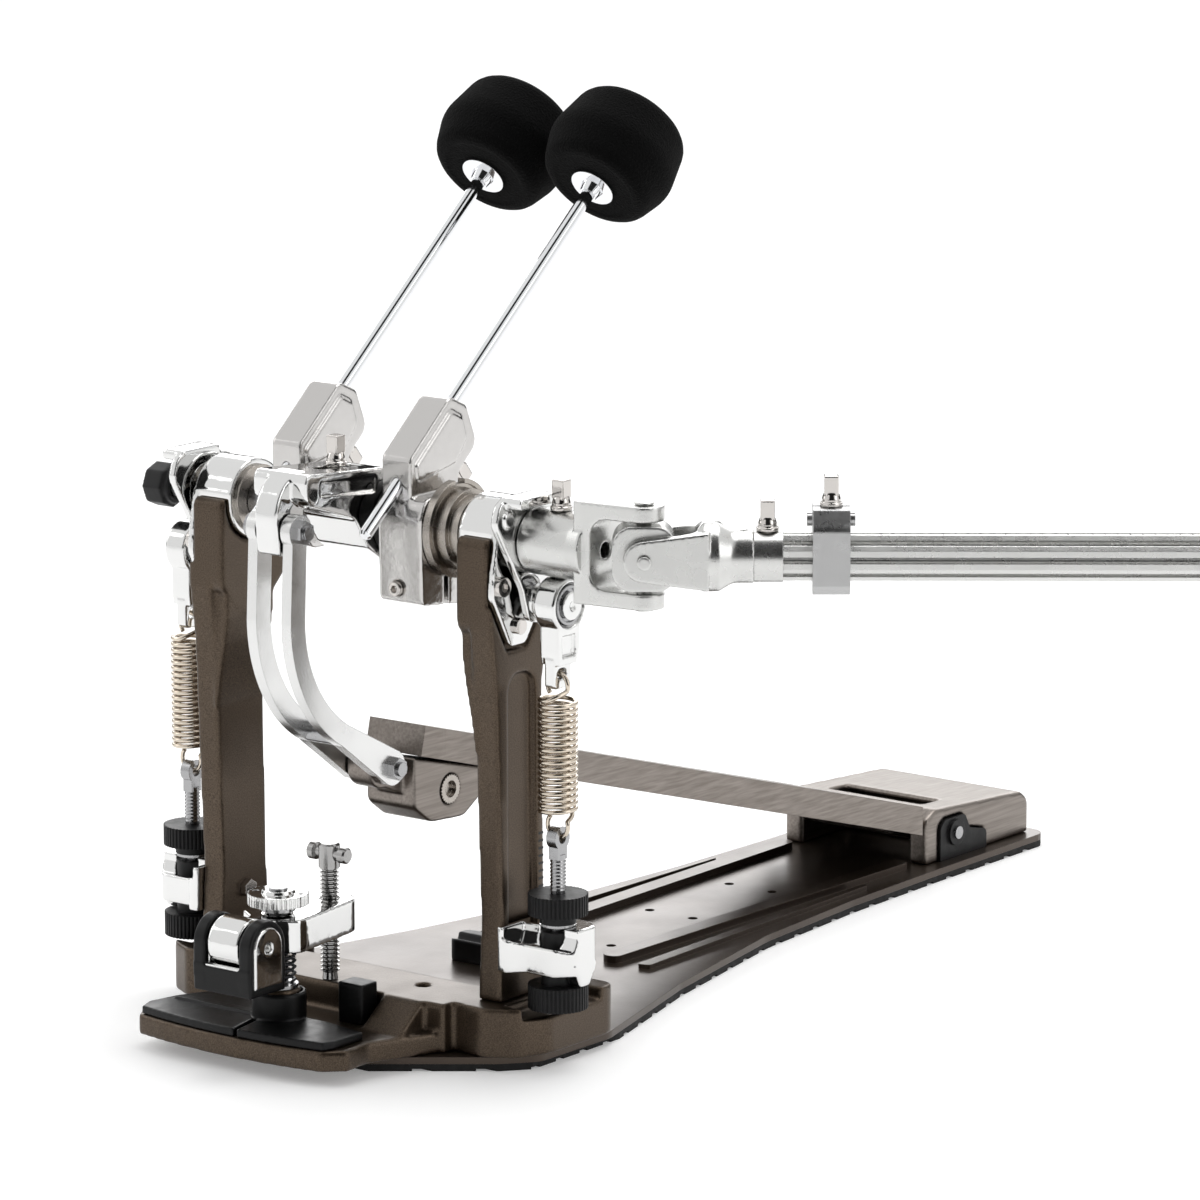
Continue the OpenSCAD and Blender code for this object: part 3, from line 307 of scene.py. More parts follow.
black_ink, tree, place = new_finish("black_screen_ink")
lay_finish(tree, {"Base Color": linear("#0b0b0b"), "Roughness": mottled(tree, place, 5, 0.5, 0.6)})
tick_z = lowest_tick + tick_step * np.arange(tick_count)
ticks = np.zeros((tick_count, 4, 3))
ticks[:, :, 0] = post_face + ink_rise
ticks[:, :, 1] = tick_y + tick_half_width * square[None, :, 0]
ticks[:, :, 2] = tick_z[:, None] + tick_half_height * square[None, :, 1]
plates("post_scale", ticks, black_ink, "base")

# Bumper and stop block: black rubber, moulded and pressed on. It is slightly glossy with a faint grain,
# and the hoop pads and the clamp's shoe are moulded from the same rubber.
black_rubber, tree, place = new_finish("moulded_black_rubber")
lay_finish(tree, {
    "Base Color": linear("#0a0a0b"), "Roughness": mottled(tree, place, 6, 0.3, 0.4),
    "Specular IOR Level": 0.22, "Normal": skin(tree, mottled(tree, place, 0.9), 0.012, 0.6)})
soften("rubber_stops", "moulded", 0.6, 7, black_rubber)

# Hoop pads: two flat slabs of rubber, glued into the bowed plate, whose front edges follow its bow. The
# left one has a raised bar across it. A ring of the same black rubber round the boss of the clamp bolt is
# painted shade: it blackens the brown boss, which lies in shadow under the jaw.
bow_x, bow_y, bow_half, bow_depth, bow_lip = -8, -84, 52, 5.5, 1.1
pad_bottom, pad_top, bar_bottom, bar_top = 15.05, 18.4, 16, 19.4
boss, boss_r, painted_shade_ring_r, painted_shade_ring_top = (0, -60.5, 0), 9.6, 11.3, 29.6


def pad_front(start, end):
    """A pad's front edge between two X, bow_lip behind the front edge of the plate.

    That edge is a parabola about bow_x, bow_depth deep over bow_half to each side.
    """
    x = np.linspace(start, end, 8)
    plate_edge = bow_y - bow_depth * (1 - ((x - bow_x) / bow_half) ** 2)
    return np.stack([x, plate_edge + bow_lip], 1)


left_pad = np.vstack([pad_front(-55, -1.5), [[-11, -44], [-17, -37], [-43, -37], [-55, -62], [-58, -76]]])
right_pad = np.vstack([pad_front(0.2, 42), [[44.5, -78], [44.5, -60], [22, -56], [-6, -56]]])
raised_bar = [[-52, -67], [-9.5, -67], [-10.8, -62], [-50, -62]]
# Painted shade: a black rubber ring round the boss, where the boss lies in shadow under the jaw.
painted_shade_ring = [(pad_bottom, painted_shade_ring_r), (painted_shade_ring_top - 1, painted_shade_ring_r), (painted_shade_ring_top, painted_shade_ring_r - 0.7)]
pad_and_shade_ring_shells = [prism(left_pad, along_z, pad_bottom, pad_top), prism(right_pad, along_z, pad_bottom, pad_top),
              prism(raised_bar, along_z, bar_bottom, bar_top), turned(painted_shade_ring, along_z, boss)]
stand_in("hoop_pads_and_painted_shade_ring", cast(joined(pad_and_shade_ring_shells), 0.45, 5, [rod(boss_r, 10, 40, along_z, boss)]),
         black_rubber, "hoop_pads")

# Shoe under the jaw: a rubber boot with two arched cheeks, open in the middle, pressed round a chromed
# cradle with two ears, which swivels on a pin. The cradle is made with the chromed parts.
pin = (-85.5, 54.5)
pin_y, pin_z = pin
boot_r, ear_r, nose_clear_r = 11.3, 8.7, 14.3
sole_z, sole_half, ear_foot_z = 35, 11, 38.2
boot_left, boot_right, cheek_inside = -15.4, 15.2, 9.2


def ear_outline(gap):
    """Outline of a cradle's ear: a half round over the pin on a straight foot, drawn in by the gap."""
    side, foot_z = ear_r - gap, ear_foot_z + gap
    return np.vstack([arc(pin, side, 0, 180, 16), [[pin_y - side, foot_z], [pin_y + side, foot_z]]])


cheek = np.vstack([arc(pin, boot_r, 0, 180, 16), [[pin_y - 11.6, 42], [pin_y - sole_half, sole_z],
                                                  [pin_y + sole_half, sole_z], [pin_y + 11.6, 42]]])
sole = [[pin_y - 11.8, 46.5], [pin_y - sole_half, sole_z], [pin_y + sole_half, sole_z], [pin_y + 11.8, 46.5]]
boot_shells = [prism(cheek, along_x, boot_left, -cheek_inside),
               prism(cheek, along_x, cheek_inside, boot_right), prism(sole, along_x, boot_left, boot_right)]
boot_cuts = [rod(nose_clear_r, -9, 9, along_x, (0, pin_y, pin_z)), prism(ear_outline(0.2), along_x, 11, 20)]
stand_in("shoe_rubber_moulded", cast(joined(boot_shells), 0.5, 9, boot_cuts), black_rubber, "shoe_rubber")

# Clamp, housings, levers, rocker and brackets: zinc castings, polished and chrome plated. They keep a
# slight unevenness under the plating, which bends the reflections.
chrome, tree, place = new_finish("polished_chrome_on_castings")
lay_finish(tree, {
    "Base Color": linear("#dededd"), "Metallic": 1.0, "Roughness": mottled(tree, place, 12, 0.04, 0.1),
    "Normal": skin(tree, mottled(tree, place, 5, detail=1.0), 0.035, 0.7)})
dress(chrome, "clamp_dial")
for node, grain_mm, passes in (("clamp_jaw", 0.6, 8), ("bearing_housings", 0.6, 5), ("left_lever", 0.55, 5),
                               ("right_lever", 0.55, 5), ("rocker", 0.6, 6), ("tension_brackets", 0.55, 7)):
    soften(node, "cast", grain_mm, passes, chrome)

# Shoe's cradle: a chromed casting, a bow under the jaw's nose between two ears. The right ear shows
# through the boot's cheek and has the hole for the pin.
cradle_r, bow_start, bow_end = 12.2, 216, 308
cradle_half, left_ear, right_ear, pin_hole_r = 9.4, (-12, -8.7), (8.7, 15.9), 2.1
cradle_bow = np.vstack([arc(pin, cradle_r, bow_start, bow_end, 14),
                        arc(pin, nose_clear_r - 0.1, bow_end, bow_start, 14)])
cradle_shells = [prism(cradle_bow, along_x, -cradle_half, cradle_half),
                 prism(ear_outline(0), along_x, *left_ear), prism(ear_outline(0), along_x, *right_ear)]
pin_hole = rod(pin_hole_r, 12, 20, along_x, (0, pin_y, pin_z))
stand_in("shoe_cradle", cast(joined(cradle_shells), 0.4, 6, [pin_hole]), chrome, "shoe")

# Hangers: forged and chromed, an eye with a stepped rim round the bearing, a waisted neck with a pocket
# for its screw, and a thin tongue with the slot for the spring's hook. The left one is the mirror image.
hanger_x, eye_y, eye_z, hook_z = 99, 1.5, 194.5, 166
eye_r, rim_r, bore_r, rim_step, eye_half = 11.3, 9.4, 8.3, 4.3, 5.5
neck_half, tongue_half, pocket_floor, past = 4.8, 2.4, 3.3, 9
middle = [eye_y, eye_z]
neck = np.array([[-7.3, -5], [7.3, -5], [6.9, -19.5], [5, -24.5], [-6.6, -24.5], [-7.3, -19.5]]) + middle
tongue = np.array([[-7.3, -22], [4.4, -22], [4.4, -33], [2.4, -34.6], [-5.4, -34.6], [-7.3, -33]]) + middle
pocket = np.array([[-4.6, -12.4], [4.6, -12.4], [4.3, -21.4], [-4.3, -21.4]]) + middle
hook_slot = np.vstack([arc((1, hook_z), 2.2, -90, 90, 8), arc((-1, hook_z), 2.2, 90, 270, 8)])
for side, sign in (("left", -1), ("right", 1)):
    x = hanger_x * sign
    eye = (x, eye_y, eye_z)
    pocket_faces = x + sign * np.array([pocket_floor, past])
    eye_ring = [(-eye_half, eye_r - 1), (-4.7, eye_r), (4.7, eye_r), (eye_half, eye_r - 1)]
    shells = [turned(eye_ring, along_x, eye), prism(neck, along_x, x - neck_half, x + neck_half),
              prism(tongue, along_x, x - tongue_half, x + tongue_half)]
    cuts = [rod(bore_r, -past, past, along_x, eye), rod(rim_r, rim_step, past, along_x, eye),
            rod(rim_r, -past, -rim_step, along_x, eye), prism(hook_slot, along_x, x - past, x + past),
            prism(pocket, along_x, pocket_faces.min(), pocket_faces.max())]
    stand_in(side + "_hanger_forged", cast(joined(shells), 0.42, 5, cuts), chrome, side + "_hanger")

# Beater holders: zinc castings like the levers, tumbled before they were plated, so that their broad
# faces are softer and a little grey. They clamp the rods on the axle.
tumbled_chrome, tree, place = new_finish("tumbled_satin_chrome")
lay_finish(tree, {
    "Base Color": linear("#c6c4c2"), "Metallic": 1.0, "Roughness": mottled(tree, place, 4, 0.12, 0.24),
    "Normal": skin(tree, mottled(tree, place, 2.5, detail=2.0), 0.03, 0.7)})
soften("beater_holder_1", "cast", 0.6, 5, tumbled_chrome)
soften("beater_holder_2", "cast", 0.6, 5, tumbled_chrome)

# Beater rods: drawn steel, ground and chromed, smooth along their length. The washer under each head is
# pressed on and plated with them.
rod_chrome, tree, place = new_finish("chromed_drawn_rod")
lay_finish(tree, {
    "Base Color": linear("#e4e5e7"), "Metallic": 1.0, "Roughness": mottled(tree, place, 20, 0.05, 0.1),
    "Normal": skin(tree, mottled(tree, place, 9, detail=1.0), 0.006, 0.3)})
dress(rod_chrome, "beater_rod_1", "beater_rod_2")

# Beater heads: pressed wool felt, dyed black, ground to a barrel and held on the rod by its washer. Felt
# drinks the light and shows a thin fuzz.
felt, tree, place = new_finish("pressed_black_wool_felt")
fibres = mottled(tree, place, 0.9, detail=6.0)
lay_finish(tree, {
    "Base Color": linear("#060606"), "Roughness": 1.0, "Specular IOR Level": 0.05, "Sheen Weight": 0.03,
    "Sheen Roughness": 0.6, "Normal": skin(tree, fibres, 0.35, 1.0)})
dress(felt, "beater_head_1", "beater_head_2")

# Axle, clamp bolt, tension screws, pins and bearing races: steel, turned and zinc plated, which gives a
# cool dull shine.
plated_steel, tree, place = new_finish("turned_zinc_plated_steel")
lay_finish(tree, {
    "Base Color": linear("#a3a3a4"), "Metallic": 1.0, "Roughness": mottled(tree, place, 5, 0.18, 0.3),
    "Normal": skin(tree, mottled(tree, place, 1.0), 0.01, 0.3)})
dress(plated_steel, "clamp_bolt", "main_axle", "link_pins", "tension_screws",
      "left_hanger_bearing", "right_hanger_bearing", "hinge_pin")

# T-bolt of the clamp: steel, an 8 mm screw with a rolled thread of 1.75 mm, its head crossed by a bar
# with two turned ends. The thread is left sharp, so that each turn catches a light and a dark line.
thread_steel, tree, place = new_finish("rolled_thread_steel")
lay_finish(tree, {
    "Base Color": linear("#a2a1a0"), "Metallic": 1.0, "Roughness": mottled(tree, place, 3, 0.16, 0.24)})
pitch, root_r, crest_r, core_r, head_r = 1.75, 3.0, 4.0, 3.3, 4.5
bolt_y, bar_z = -27.5, 81
crests = np.arange(30, 74.5, pitch)
thread = np.stack([np.repeat(crests, 4) + np.tile([0, 0.3, 0.85, 1.35], len(crests)),
                   np.tile([root_r, root_r, crest_r, crest_r], len(crests))], 1)
head = [(75.2, core_r), (75.2, head_r), (84.6, head_r), (85.4, head_r - 0.9)]
screw = [(27.4, core_r), *thread.tolist(), *head]
bar = [(-10, 2.9), (-9.3, 3.7), (-6.6, 3.7), (-6, 2.4), (6, 2.4), (6.4, 3.4), (9.3, 3.4), (10, 2.7)]
bolt_shells = [turned(screw, along_z, (0, bolt_y, 0), 32), turned(bar, along_x, (0, bolt_y, bar_z), 32)]
t_bolt = stand_in("t_bolt_threaded", joined(bolt_shells), thread_steel, "t_bolt")
t_bolt.data.set_sharp_from_angle(angle=math.radians(30))

# Drum-key bolts and the posts' screws: steel, nickel plated over copper, which leaves their washers and
# necks faintly warm. Tumbling has rounded the key bolts' edges.
key_nickel, tree, place = new_finish("copper_flashed_nickel_bolts")
lay_finish(tree, {
    "Base Color": linear("#cdc9c5"), "Metallic": 1.0, "Roughness": mottled(tree, place, 5, 0.05, 0.12),
    "Normal": skin(tree, mottled(tree, place, 1.0), 0.008, 0.35)})
dress(key_nickel, "post_screws")
for node in ("main_key_bolts", "near_key_bolts", "shaft_key_bolts"):
    soften(node, "tumbled", 0.3, 4, key_nickel)

# Bearings, near hub and adjuster wheel: turned from steel and plated in a champagne nickel. The turning
# marks run round and dull the shine a little.
champagne, tree, place = new_finish("champagne_nickel_on_turned_steel")
turning = mottled(tree, place, 0.8, detail=2.0, stretch=(6, 0.3, 0.3))
lay_finish(tree, {
    "Base Color": linear("#aaa49d"), "Metallic": 1.0, "Roughness": mottled(tree, place, 6, 0.2, 0.3),
    "Normal": skin(tree, turning, 0.01, 0.4)})
dress(champagne, "axle_bearings", "near_hub", "adjuster_wheel")

# Knobs, axle cap and heel bushes: black nylon, moulded and nearly dull. The knobs are knurled where
# fingers turn them, and the cap is pressed over the end of the axle.
black_nylon, tree, place = new_finish("moulded_black_nylon")
lay_finish(tree, {
    "Base Color": linear("#101011"), "Roughness": mottled(tree, place, 4, 0.4, 0.52),
    "Specular IOR Level": 0.28, "Normal": skin(tree, mottled(tree, place, 0.7), 0.012, 0.4)})
dress(black_nylon, "left_upper_knob", "right_upper_knob", "lower_knobs", "heel_bushes")
soften("axle_trim", "moulded", 0.5, 14, black_nylon)

# Helper yoke and grooved inner shaft: aluminium, machined or extruded, bead blasted and clear anodised.
# The blast gives a fine even grain, drawn here at 0.5 mm so that it shows, and a broad white sheen.
blasted_aluminium, tree, place = new_finish("blasted_clear_anodised_aluminium")
lay_finish(tree, {
    "Base Color": linear("#cdcdcb"), "Metallic": 1.0, "Roughness": mottled(tree, place, 9, 0.25, 0.3),
    "Normal": skin(tree, mottled(tree, place, 0.5), 0.008, 0.5)})
dress(blasted_aluminium, "helper_yoke", "inner_shaft")

# Near joint's yoke: machined aluminium, a round hub that runs into a block with a deep round-cornered
# slot, whose arms taper to bosses round the cross's pins. The outlines lie about the joint's middle.
joint = (143, 0, 220)
arm_z, slot_z, web_x, block_back, block_front = 21, 14.6, -19.3, -27, 9
boss_r, corner_r, yoke_half, screw_r, past = 8.3, 7, 11.5, 3.3, 30
shaft_turn, shaft_length = 37, 400
shaft_way = np.array([math.cos(math.radians(shaft_turn)), math.sin(math.radians(shaft_turn)), 0])


def at_joint(shells, turn=0.0, reach=0.0):
    """Shells drawn about a joint's middle, turned about Z by degrees and set that far down the shaft."""
    cosine, sine = math.cos(math.radians(turn)), math.sin(math.radians(turn))
    spin = np.array([[cosine, sine, 0], [-sine, cosine, 0], [0, 0, 1]])
    return [(points @ spin + shaft_way * reach + joint, faces) for points, faces in shells]


hub = [(-54.9, 13.2), (-54.2, 13.9), (-30, 13.9), (-24, 14.6), (-21, 14.6)]
block = [[block_back, -arm_z], [block_front, -arm_z], [block_front, arm_z], [block_back, arm_z]]
opening = np.vstack([arc((web_x + corner_r, corner_r - slot_z), corner_r, 270, 180, 8),
                     arc((web_x + corner_r, slot_z - corner_r), corner_r, 180, 90, 8),
                     [[past, slot_z], [past, -slot_z]]])
taper = np.vstack([[[-23, yoke_half]], arc((0, 0), boss_r, 82, 0), [[past, 0], [past, past], [-23, past]]])
yoke_shells = [turned(hub, along_x), prism(block, along_y, -yoke_half, yoke_half)]
yoke_cuts = [prism(opening, along_y, -past, past), prism(taper, along_z, -past, past),
             prism(taper * [1, -1], along_z, -past, past), rod(screw_r, -36, -10, along_x)]
stand_in("yoke_1_blasted", cast(joined(at_joint(yoke_shells)), 0.5, 5, at_joint(yoke_cuts)),
         blasted_aluminium, "yoke_1")

# Crosses: a thick aluminium block with round corners between the two pairs of arms, and its steel pins
# pressed through, with their caps. There is one at each end of the shaft.
lobe_x, lobe_y, lobe_r, lump_half = 4.8, 5.4, 8, 8.6
pin_r, pin_end, cross_pin_end, cap_r, cap_start = 2.9, 22.3, 17.3, 4.2, 21.25
lump = np.vstack([arc((lobe_x, lobe_y), lobe_r, 0, 90, 8), arc((-lobe_x, lobe_y), lobe_r, 90, 180, 8),
                  arc((-lobe_x, -lobe_y), lobe_r, 180, 270, 8), arc((lobe_x, -lobe_y), lobe_r, 270, 360, 8)])
cross_shells = [prism(lump, along_y, -lump_half, lump_half), rod(pin_r, -pin_end, pin_end, along_z),
                rod(pin_r, -cross_pin_end, cross_pin_end, along_y),
                rod(cap_r, cap_start, pin_end, along_z), rod(cap_r, -pin_end, -cap_start, along_z)]

# Forks: machined aluminium, two ears that widen from the pin into a round root with a round-ended slot,
# then a neck with two small holes, which is pressed into the shaft.
fork_ear_r, ear_root, slot_r, fork_half, hole_r = 8.4, 11.8, 9.3, 14.5, 1.6
fork_ear = np.vstack([arc((0, 0), fork_ear_r, 100, 260, 16), [[26, -ear_root], [26, ear_root]]])
fork_slot = np.vstack([arc((13.5, 0), slot_r, -90, 90), [[-past, slot_r], [-past, -slot_r]]])
fork_neck = [(21, 13.0), (24, 14.4), (30, 14.2), (35, 11.2), (37, 10.8), (44, 10.8)]
fork_shells = [prism(fork_ear, along_y, -fork_half, fork_half), turned(fork_neck, along_x)]
fork_cuts = [prism(fork_slot, along_z, -past, past), rod(hole_r, 5, 20, along_z, (30, 0, 0)),
             rod(hole_r, 5, 20, along_z, (40, 0, 0))]
for end, turn, reach in ((1, shaft_turn, 0), (2, shaft_turn + 180, shaft_length)):
    cross_mesh = cast(joined(at_joint(cross_shells, turn, reach)), 0.5, 4)
    stand_in(f"cross_{end}_blasted", cross_mesh, blasted_aluminium, f"cross_{end}")
    fork_mesh = cast(joined(at_joint(fork_shells, turn, reach)), 0.5, 4, at_joint(fork_cuts, turn, reach))
    stand_in(f"fork_{end}_blasted", fork_mesh, blasted_aluminium, f"fork_{end}")

# Link arms: aluminium strip, extruded, bent and satin anodised, with fine lines along the strip. They
# hang on pins between the rocker and the board's carrier.
satin_strip, tree, place = new_finish("satin_anodised_strip")
lay_finish(tree, {
    "Base Color": linear("#d9d9d8"), "Metallic": 1.0, "Roughness": mottled(tree, place, 12, 0.2, 0.28),
    "Normal": skin(tree, mottled(tree, place, 1.2, detail=2.0, stretch=(4, 1, 1)), 0.008, 0.5)})
dress(satin_strip, "link_arms")

# Memory lock and outer tube: grey anodised aluminium, brushed round, so that the lines run across the
# shaft. The pattern is turned with the shaft.
brushed_aluminium, tree, place = new_finish("brushed_grey_anodised_aluminium")
down_shaft = add(tree, "ShaderNodeVectorRotate", {"Vector": place, "Angle": -math.radians(shaft_turn)},
                 rotation_type="Z_AXIS").outputs[0]
lay_finish(tree, {
    "Base Color": linear("#b4b4b4"), "Metallic": 1.0, "Roughness": mottled(tree, place, 7, 0.25, 0.34),
    "Normal": skin(tree, mottled(tree, down_shaft, 1.0, detail=2.0, stretch=(5, 0.4, 0.4)), 0.02, 0.5)})
dress(brushed_aluminium, "memory_lock", "outer_tube")

# Length scale on the shaft: plain ticks every 5 mm, etched dark in its top flat, with a longer one at
# every fifth. They are flat quads in metres, set along the shaft from the near joint.
shaft_flat, tick_half_length, across_shift = 0.0093, 0.00025, 0.0005
across = np.array([-shaft_way[1], shaft_way[0], 0])
tick_places = np.arange(0.095, 0.30, 0.005)
tick_halves = np.where(np.arange(len(tick_places)) % 5 == 0, 0.0022, 0.0012)
along_shaft = tick_places[:, None, None] * shaft_way + tick_half_length * square[None, :, 0, None] * shaft_way
across_shaft = (tick_halves[:, None] * square[None, :, 1] - across_shift)[:, :, None] * across
flat_middle = np.array(joint) / 1000 + [0, 0, shaft_flat + ink_rise]
plates("shaft_scale", flat_middle + along_shaft + across_shaft, black_ink, "drive_shaft")

# Return springs: 2 mm spring wire, wound cold in 18 turns, hooked at both ends and nickel plated with a
# warm tint. Each is hooked into its hanger's slot and into the eye of its tension screw, and stretches
# between the two.
spring_nickel, tree, place = new_finish("nickel_plated_spring_wire")
lay_finish(tree, {
    "Base Color": linear("#cfc4b5"), "Metallic": 1.0, "Roughness": mottled(tree, place, 4, 0.14, 0.22),
    "Normal": skin(tree, mottled(tree, place, 1.5, detail=1.0), 0.004, 0.2)})
coil_r, wire_r, turns, turn_steps, hook_r = 0.0075, 0.000975, 18.5, 24, 0.0052
top_z, bottom_z = hook_z / 1000, 0.097
half_length = (top_z - bottom_z) / 2
half_coils = half_length - 0.0106
hook_middle = half_length - hook_r
turn_in_x, hook_drop = 0.0047, 0.002


def spring_line():
    """Centre line of a spring about its middle: a helix that goes over into a hook at each end.

    The helix has radius coil_r and climbs evenly. A quarter turn of an ellipse leads in from it to a hook,
    which is most of a circle of radius hook_r in the X-Z plane.
    """
    climb = np.linspace(0, 1, int(turn_steps * turns) + 1)
    angle = np.pi / 2 + 2 * np.pi * turns * climb
    helix = np.stack([coil_r * np.cos(angle), coil_r * np.sin(angle), half_coils * (2 * climb - 1)], 1)
    share = np.linspace(0, 1, 10)[1:-1, None]
    turn_in = np.hstack([turn_in_x * np.sin(np.pi / 2 * share), -coil_r * np.cos(np.pi / 2 * share),
                         half_coils + (hook_middle - hook_drop - half_coils) * share])
    angle = np.radians(np.linspace(-20, 222, 30))
    hook = np.stack([hook_r * np.cos(angle), 0 * angle, hook_middle + hook_r * np.sin(angle)], 1)
    top = np.vstack([turn_in, hook])
    return np.vstack([(top * [1, -1, -1])[::-1], helix, top])


def wire(line, radius, sides=10):
    """Points and faces of a wire carried along a line: each ring lies square to the line.

    A ring starts from a side that leans from Z along the coils to Y along the hooks, over 3 mm.
    """
    step = np.gradient(line, axis=0)
    step /= np.linalg.norm(step, axis=1)[:, None]
    lean = np.clip((np.abs(line[:, 2]) - half_coils) / 0.003, 0, 1)[:, None]
    side = np.array([0, 0, 1]) * (1 - lean) + np.array([0, 1, 0]) * lean
    side = side - (side * step).sum(1)[:, None] * step
    side /= np.linalg.norm(side, axis=1)[:, None]
    other = np.cross(step, side)
    angle = 2 * np.pi * np.arange(sides) / sides
    circle = np.cos(angle)[None, :, None] * side[:, None] + np.sin(angle)[None, :, None] * other[:, None]
    return (line[:, None] + radius * circle).reshape(-1, 3), lathe_faces(len(line), sides)


for side_name, x in (("left", -hanger_x / 1000), ("right", hanger_x / 1000)):
    points, faces = wire(spring_line(), wire_r)
    mesh = bpy.data.meshes.new(side_name + "_spring_wire")
    mesh.from_pydata((points + [x, 0, (top_z + bottom_z) / 2]).tolist(), [], faces)
    mesh.polygons.foreach_set("use_smooth", np.ones(len(faces), bool))
    mesh.materials.append(spring_nickel)
    piece = put(side_name + "_spring_wire", mesh)
    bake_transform(piece)
    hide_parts(side_name + "_spring")

# Lifting spring of the clamp: steel wire, wound open and coloured a near-black grey. It stands round the
# clamp bolt and lifts the jaw off the hoop.
dark_wire, tree, place = new_finish("dark_grey_spring_wire")
lay_finish(tree, {
    "Base Color": linear("#2c2c2e"), "Metallic": 1.0, "Roughness": mottled(tree, place, 4, 0.3, 0.4)})
dress(dark_wire, "clamp_spring")

# Footboard, link carrier and heel block: aluminium, cast and milled, brushed along the foot and anodised
# bronze-grey. The brush marks run with Y, about 1 mm apart, and catch a long soft light.
brushed_bronze, tree, place = new_finish("brushed_bronze_anodised_aluminium")
brush_marks = mottled(tree, place, 1.1, detail=4.0, stretch=(1, 0.03, 1))
shade = add(tree, "ShaderNodeMix", {
    "Factor": brush_marks, colour_a: linear("#756e68"), colour_b: linear("#8d8680")},
    data_type="RGBA").outputs[mixed_colour]
lay_finish(tree, {
    "Base Color": shade, "Metallic": 1.0, "Roughness": mottled(tree, place, 30, 0.3, 0.38),
    "Normal": skin(tree, brush_marks, 0.02, 0.5)})
dress(brushed_bronze, "footboard")
soften("heel_block", "cast", 0.9, 14, brushed_bronze)
soften("link_carrier", "cast", 0.6, 9, brushed_bronze)

# Studio floor: a sweep of white paper, lit through from below, so that it stays white round the pedal and
# still takes a soft shadow.
paper_half = 7
white_sweep, tree, place = new_finish("white_paper_sweep")
lay_finish(tree, {
    "Base Color": linear("#f3f3f3"), "Roughness": 0.9,
    "Emission Color": linear("#ffffff"), "Emission Strength": 0.22})
paper = bpy.data.meshes.new("floor")
paper.from_pydata(np.column_stack([square * paper_half, np.zeros(4)]).tolist(), [], [[0, 1, 2, 3]])
paper.materials.append(white_sweep)
put("floor", paper)


# Lamps: a broad soft box high above the heel, and a weaker one on each side. They light the paint, the
# rubber and the board, and the polished parts mirror the studio's walls.
def lamp(name, centre, aim, size, watts):
    """Rectangular soft box that looks from its centre to a point."""
    light = bpy.data.lights.new(name, "AREA")
    light.shape = "RECTANGLE"
    light.size, light.size_y = size
    light.energy = watts
    box = put(name, light)
    box.location = centre
    way = np.array(aim, float) - np.array(centre, float)
    way /= np.linalg.norm(way)
    box.rotation_euler = (math.acos(-way[2]), 0, math.atan2(way[1], way[0]) - math.pi / 2)


lamp("top_box", (0.0, 0.55, 1.8), (0.1, 0.1, 0), (1.1, 1.1), 11)
lamp("left_box", (-1.6, -0.6, 0.9), (0, 0, 0.15), (0.9, 1.2), 4)
lamp("right_box", (1.9, 0.3, 0.9), (0.1, 0, 0.15), (0.8, 1.2), 4)

# Studio walls, which polished metal mirrors: white paper all round, black flags at eye height with gaps
# for two soft boxes, the dark room behind the camera, a black gap overhead beside the top box, and a
# backdrop lit far brighter than the paper, which whitens every level face. The camera itself sees white.
paper_light, backdrop_light, black_light = 0.94, 3.6, 0.02
world = bpy.data.worlds.new("white_studio")
world.use_nodes = True
tree = world.node_tree
tree.nodes.clear()


def within(value, low, high, blur):
    """1 where the value lies between low and high, 0 outside, with soft sides."""
    rise = add(tree, "ShaderNodeMapRange", {
        "Value": value, "From Min": low - blur, "From Max": low + blur, "To Min": 0.0, "To Max": 1.0},
        interpolation_type="SMOOTHSTEP").outputs[0]
    return add(tree, "ShaderNodeMapRange", {
        "Value": value, "From Min": high - blur, "From Max": high + blur, "To Min": rise, "To Max": 0.0},
        interpolation_type="SMOOTHSTEP").outputs[0]


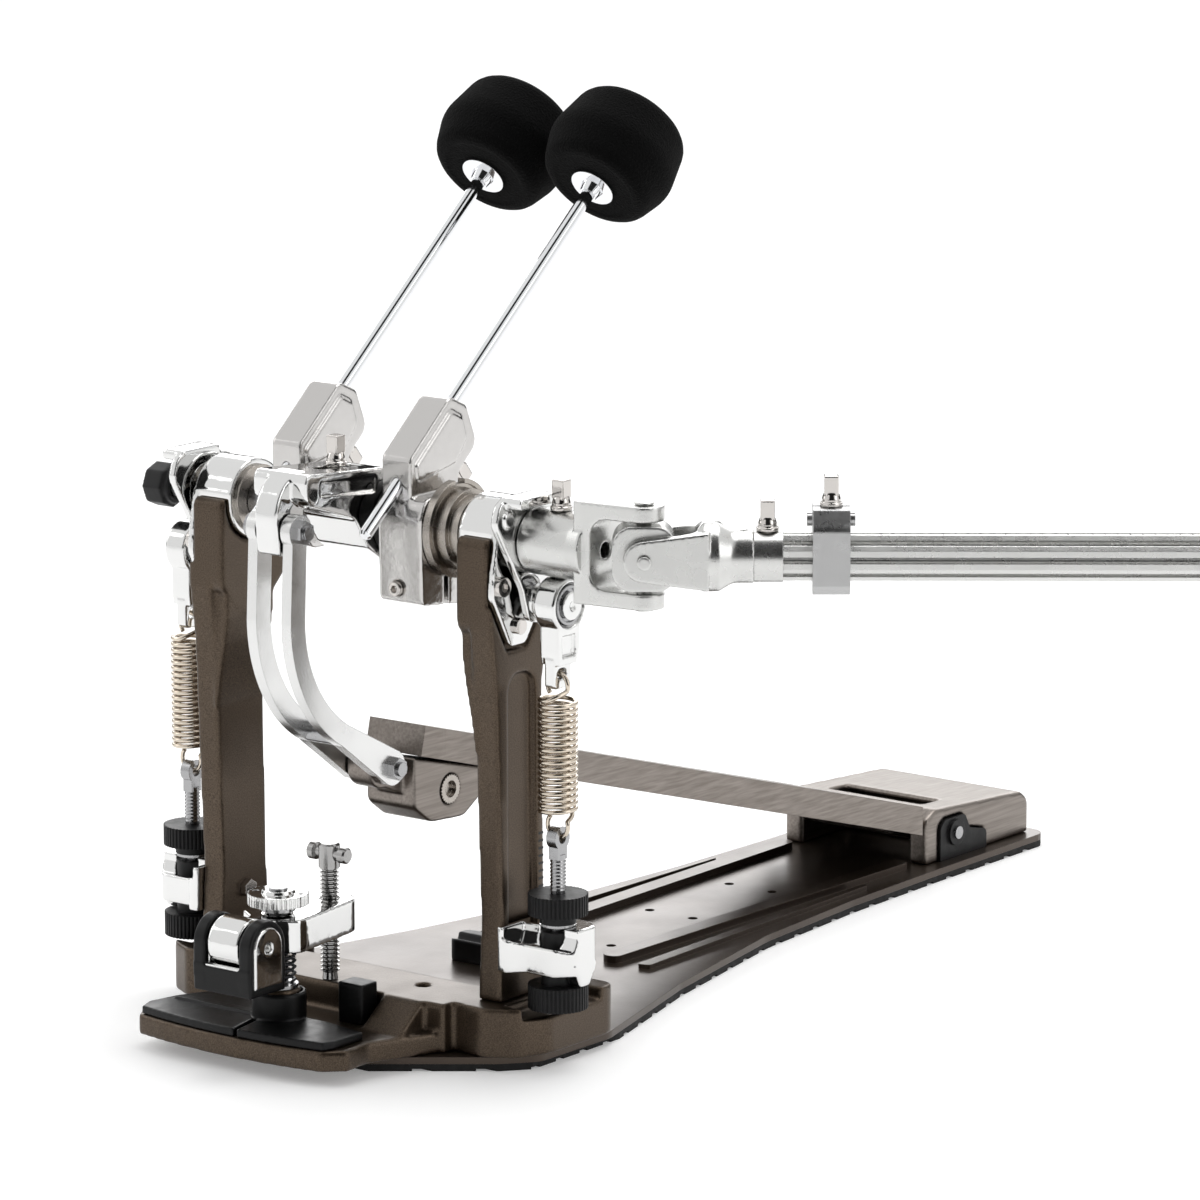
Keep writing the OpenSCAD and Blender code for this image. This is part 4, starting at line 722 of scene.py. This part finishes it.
way = add(tree, "ShaderNodeTexCoord").outputs["Generated"]
east, north, up = add(tree, "ShaderNodeSeparateXYZ", {"Vector": way}).outputs
bearing = add(tree, "ShaderNodeMath", {0: north, 1: east}, operation="ARCTAN2").outputs[0]
flags = within(up, -0.2, 0.17, 0.03)
room = add(tree, "ShaderNodeMath", {0: within(bearing, -1.4, -0.3, 0.08), 1: within(up, -0.2, 0.9, 0.03)},
           operation="MULTIPLY").outputs[0]
box_gaps = {0: within(bearing, -2.7, -1.75, 0.05), 1: within(bearing, -0.1, 0.9, 0.05)}
boxes = add(tree, "ShaderNodeMath", box_gaps, operation="MAXIMUM").outputs[0]
open_flags = add(tree, "ShaderNodeMath", {0: flags, 1: boxes}, operation="SUBTRACT",
                 use_clamp=True).outputs[0]
gap = add(tree, "ShaderNodeMath", {0: within(east, 0.02, 0.48, 0.03), 1: within(north, -0.45, 0.0, 0.03)},
          operation="MULTIPLY").outputs[0]
overhead = add(tree, "ShaderNodeMath", {0: gap, 1: within(up, 0.85, 1.2, 0.03)},
               operation="MULTIPLY").outputs[0]
closed = add(tree, "ShaderNodeMath", {0: open_flags, 1: room}, operation="MAXIMUM").outputs[0]
dark = add(tree, "ShaderNodeMath", {0: closed, 1: overhead}, operation="MAXIMUM").outputs[0]
backdrop = add(tree, "ShaderNodeMath", {0: within(bearing, 1.75, 2.75, 0.2), 1: within(up, 0.16, 0.5, 0.06)},
               operation="MULTIPLY").outputs[0]
lit = add(tree, "ShaderNodeMapRange", {
    "Value": backdrop, "To Min": paper_light, "To Max": backdrop_light}).outputs[0]
mirrored = add(tree, "ShaderNodeMapRange", {"Value": dark, "To Min": lit, "To Max": black_light}).outputs[0]
seen = add(tree, "ShaderNodeLightPath").outputs["Is Camera Ray"]
glow = add(tree, "ShaderNodeMix", {"Factor": seen, "A": mirrored, "B": 1.0}).outputs[0]
walls = add(tree, "ShaderNodeBackground", {"Color": linear("#ffffff"), "Strength": glow})
add(tree, "ShaderNodeOutputWorld", {"Surface": walls.outputs[0]})
bpy.context.scene.world = world
bpy.context.scene.view_settings.view_transform = "Standard"

# Camera: a long lens from the near side and a little above, fitted to the photograph's level edges and
# knobs. It looks look_down degrees under level and is turned look_round degrees from straight ahead.
look_down, look_round = 11.73, 37.43
lens = bpy.data.cameras.new("photo_camera")
lens.sensor_width = 36
lens.lens = 196.3
lens.clip_end = 50
camera = put("photo_camera", lens)
camera.location = (1.6954, -2.0574, 0.7370)
camera.rotation_euler = (math.radians(90 - look_down), 0, math.radians(look_round))
bpy.context.scene.camera = camera
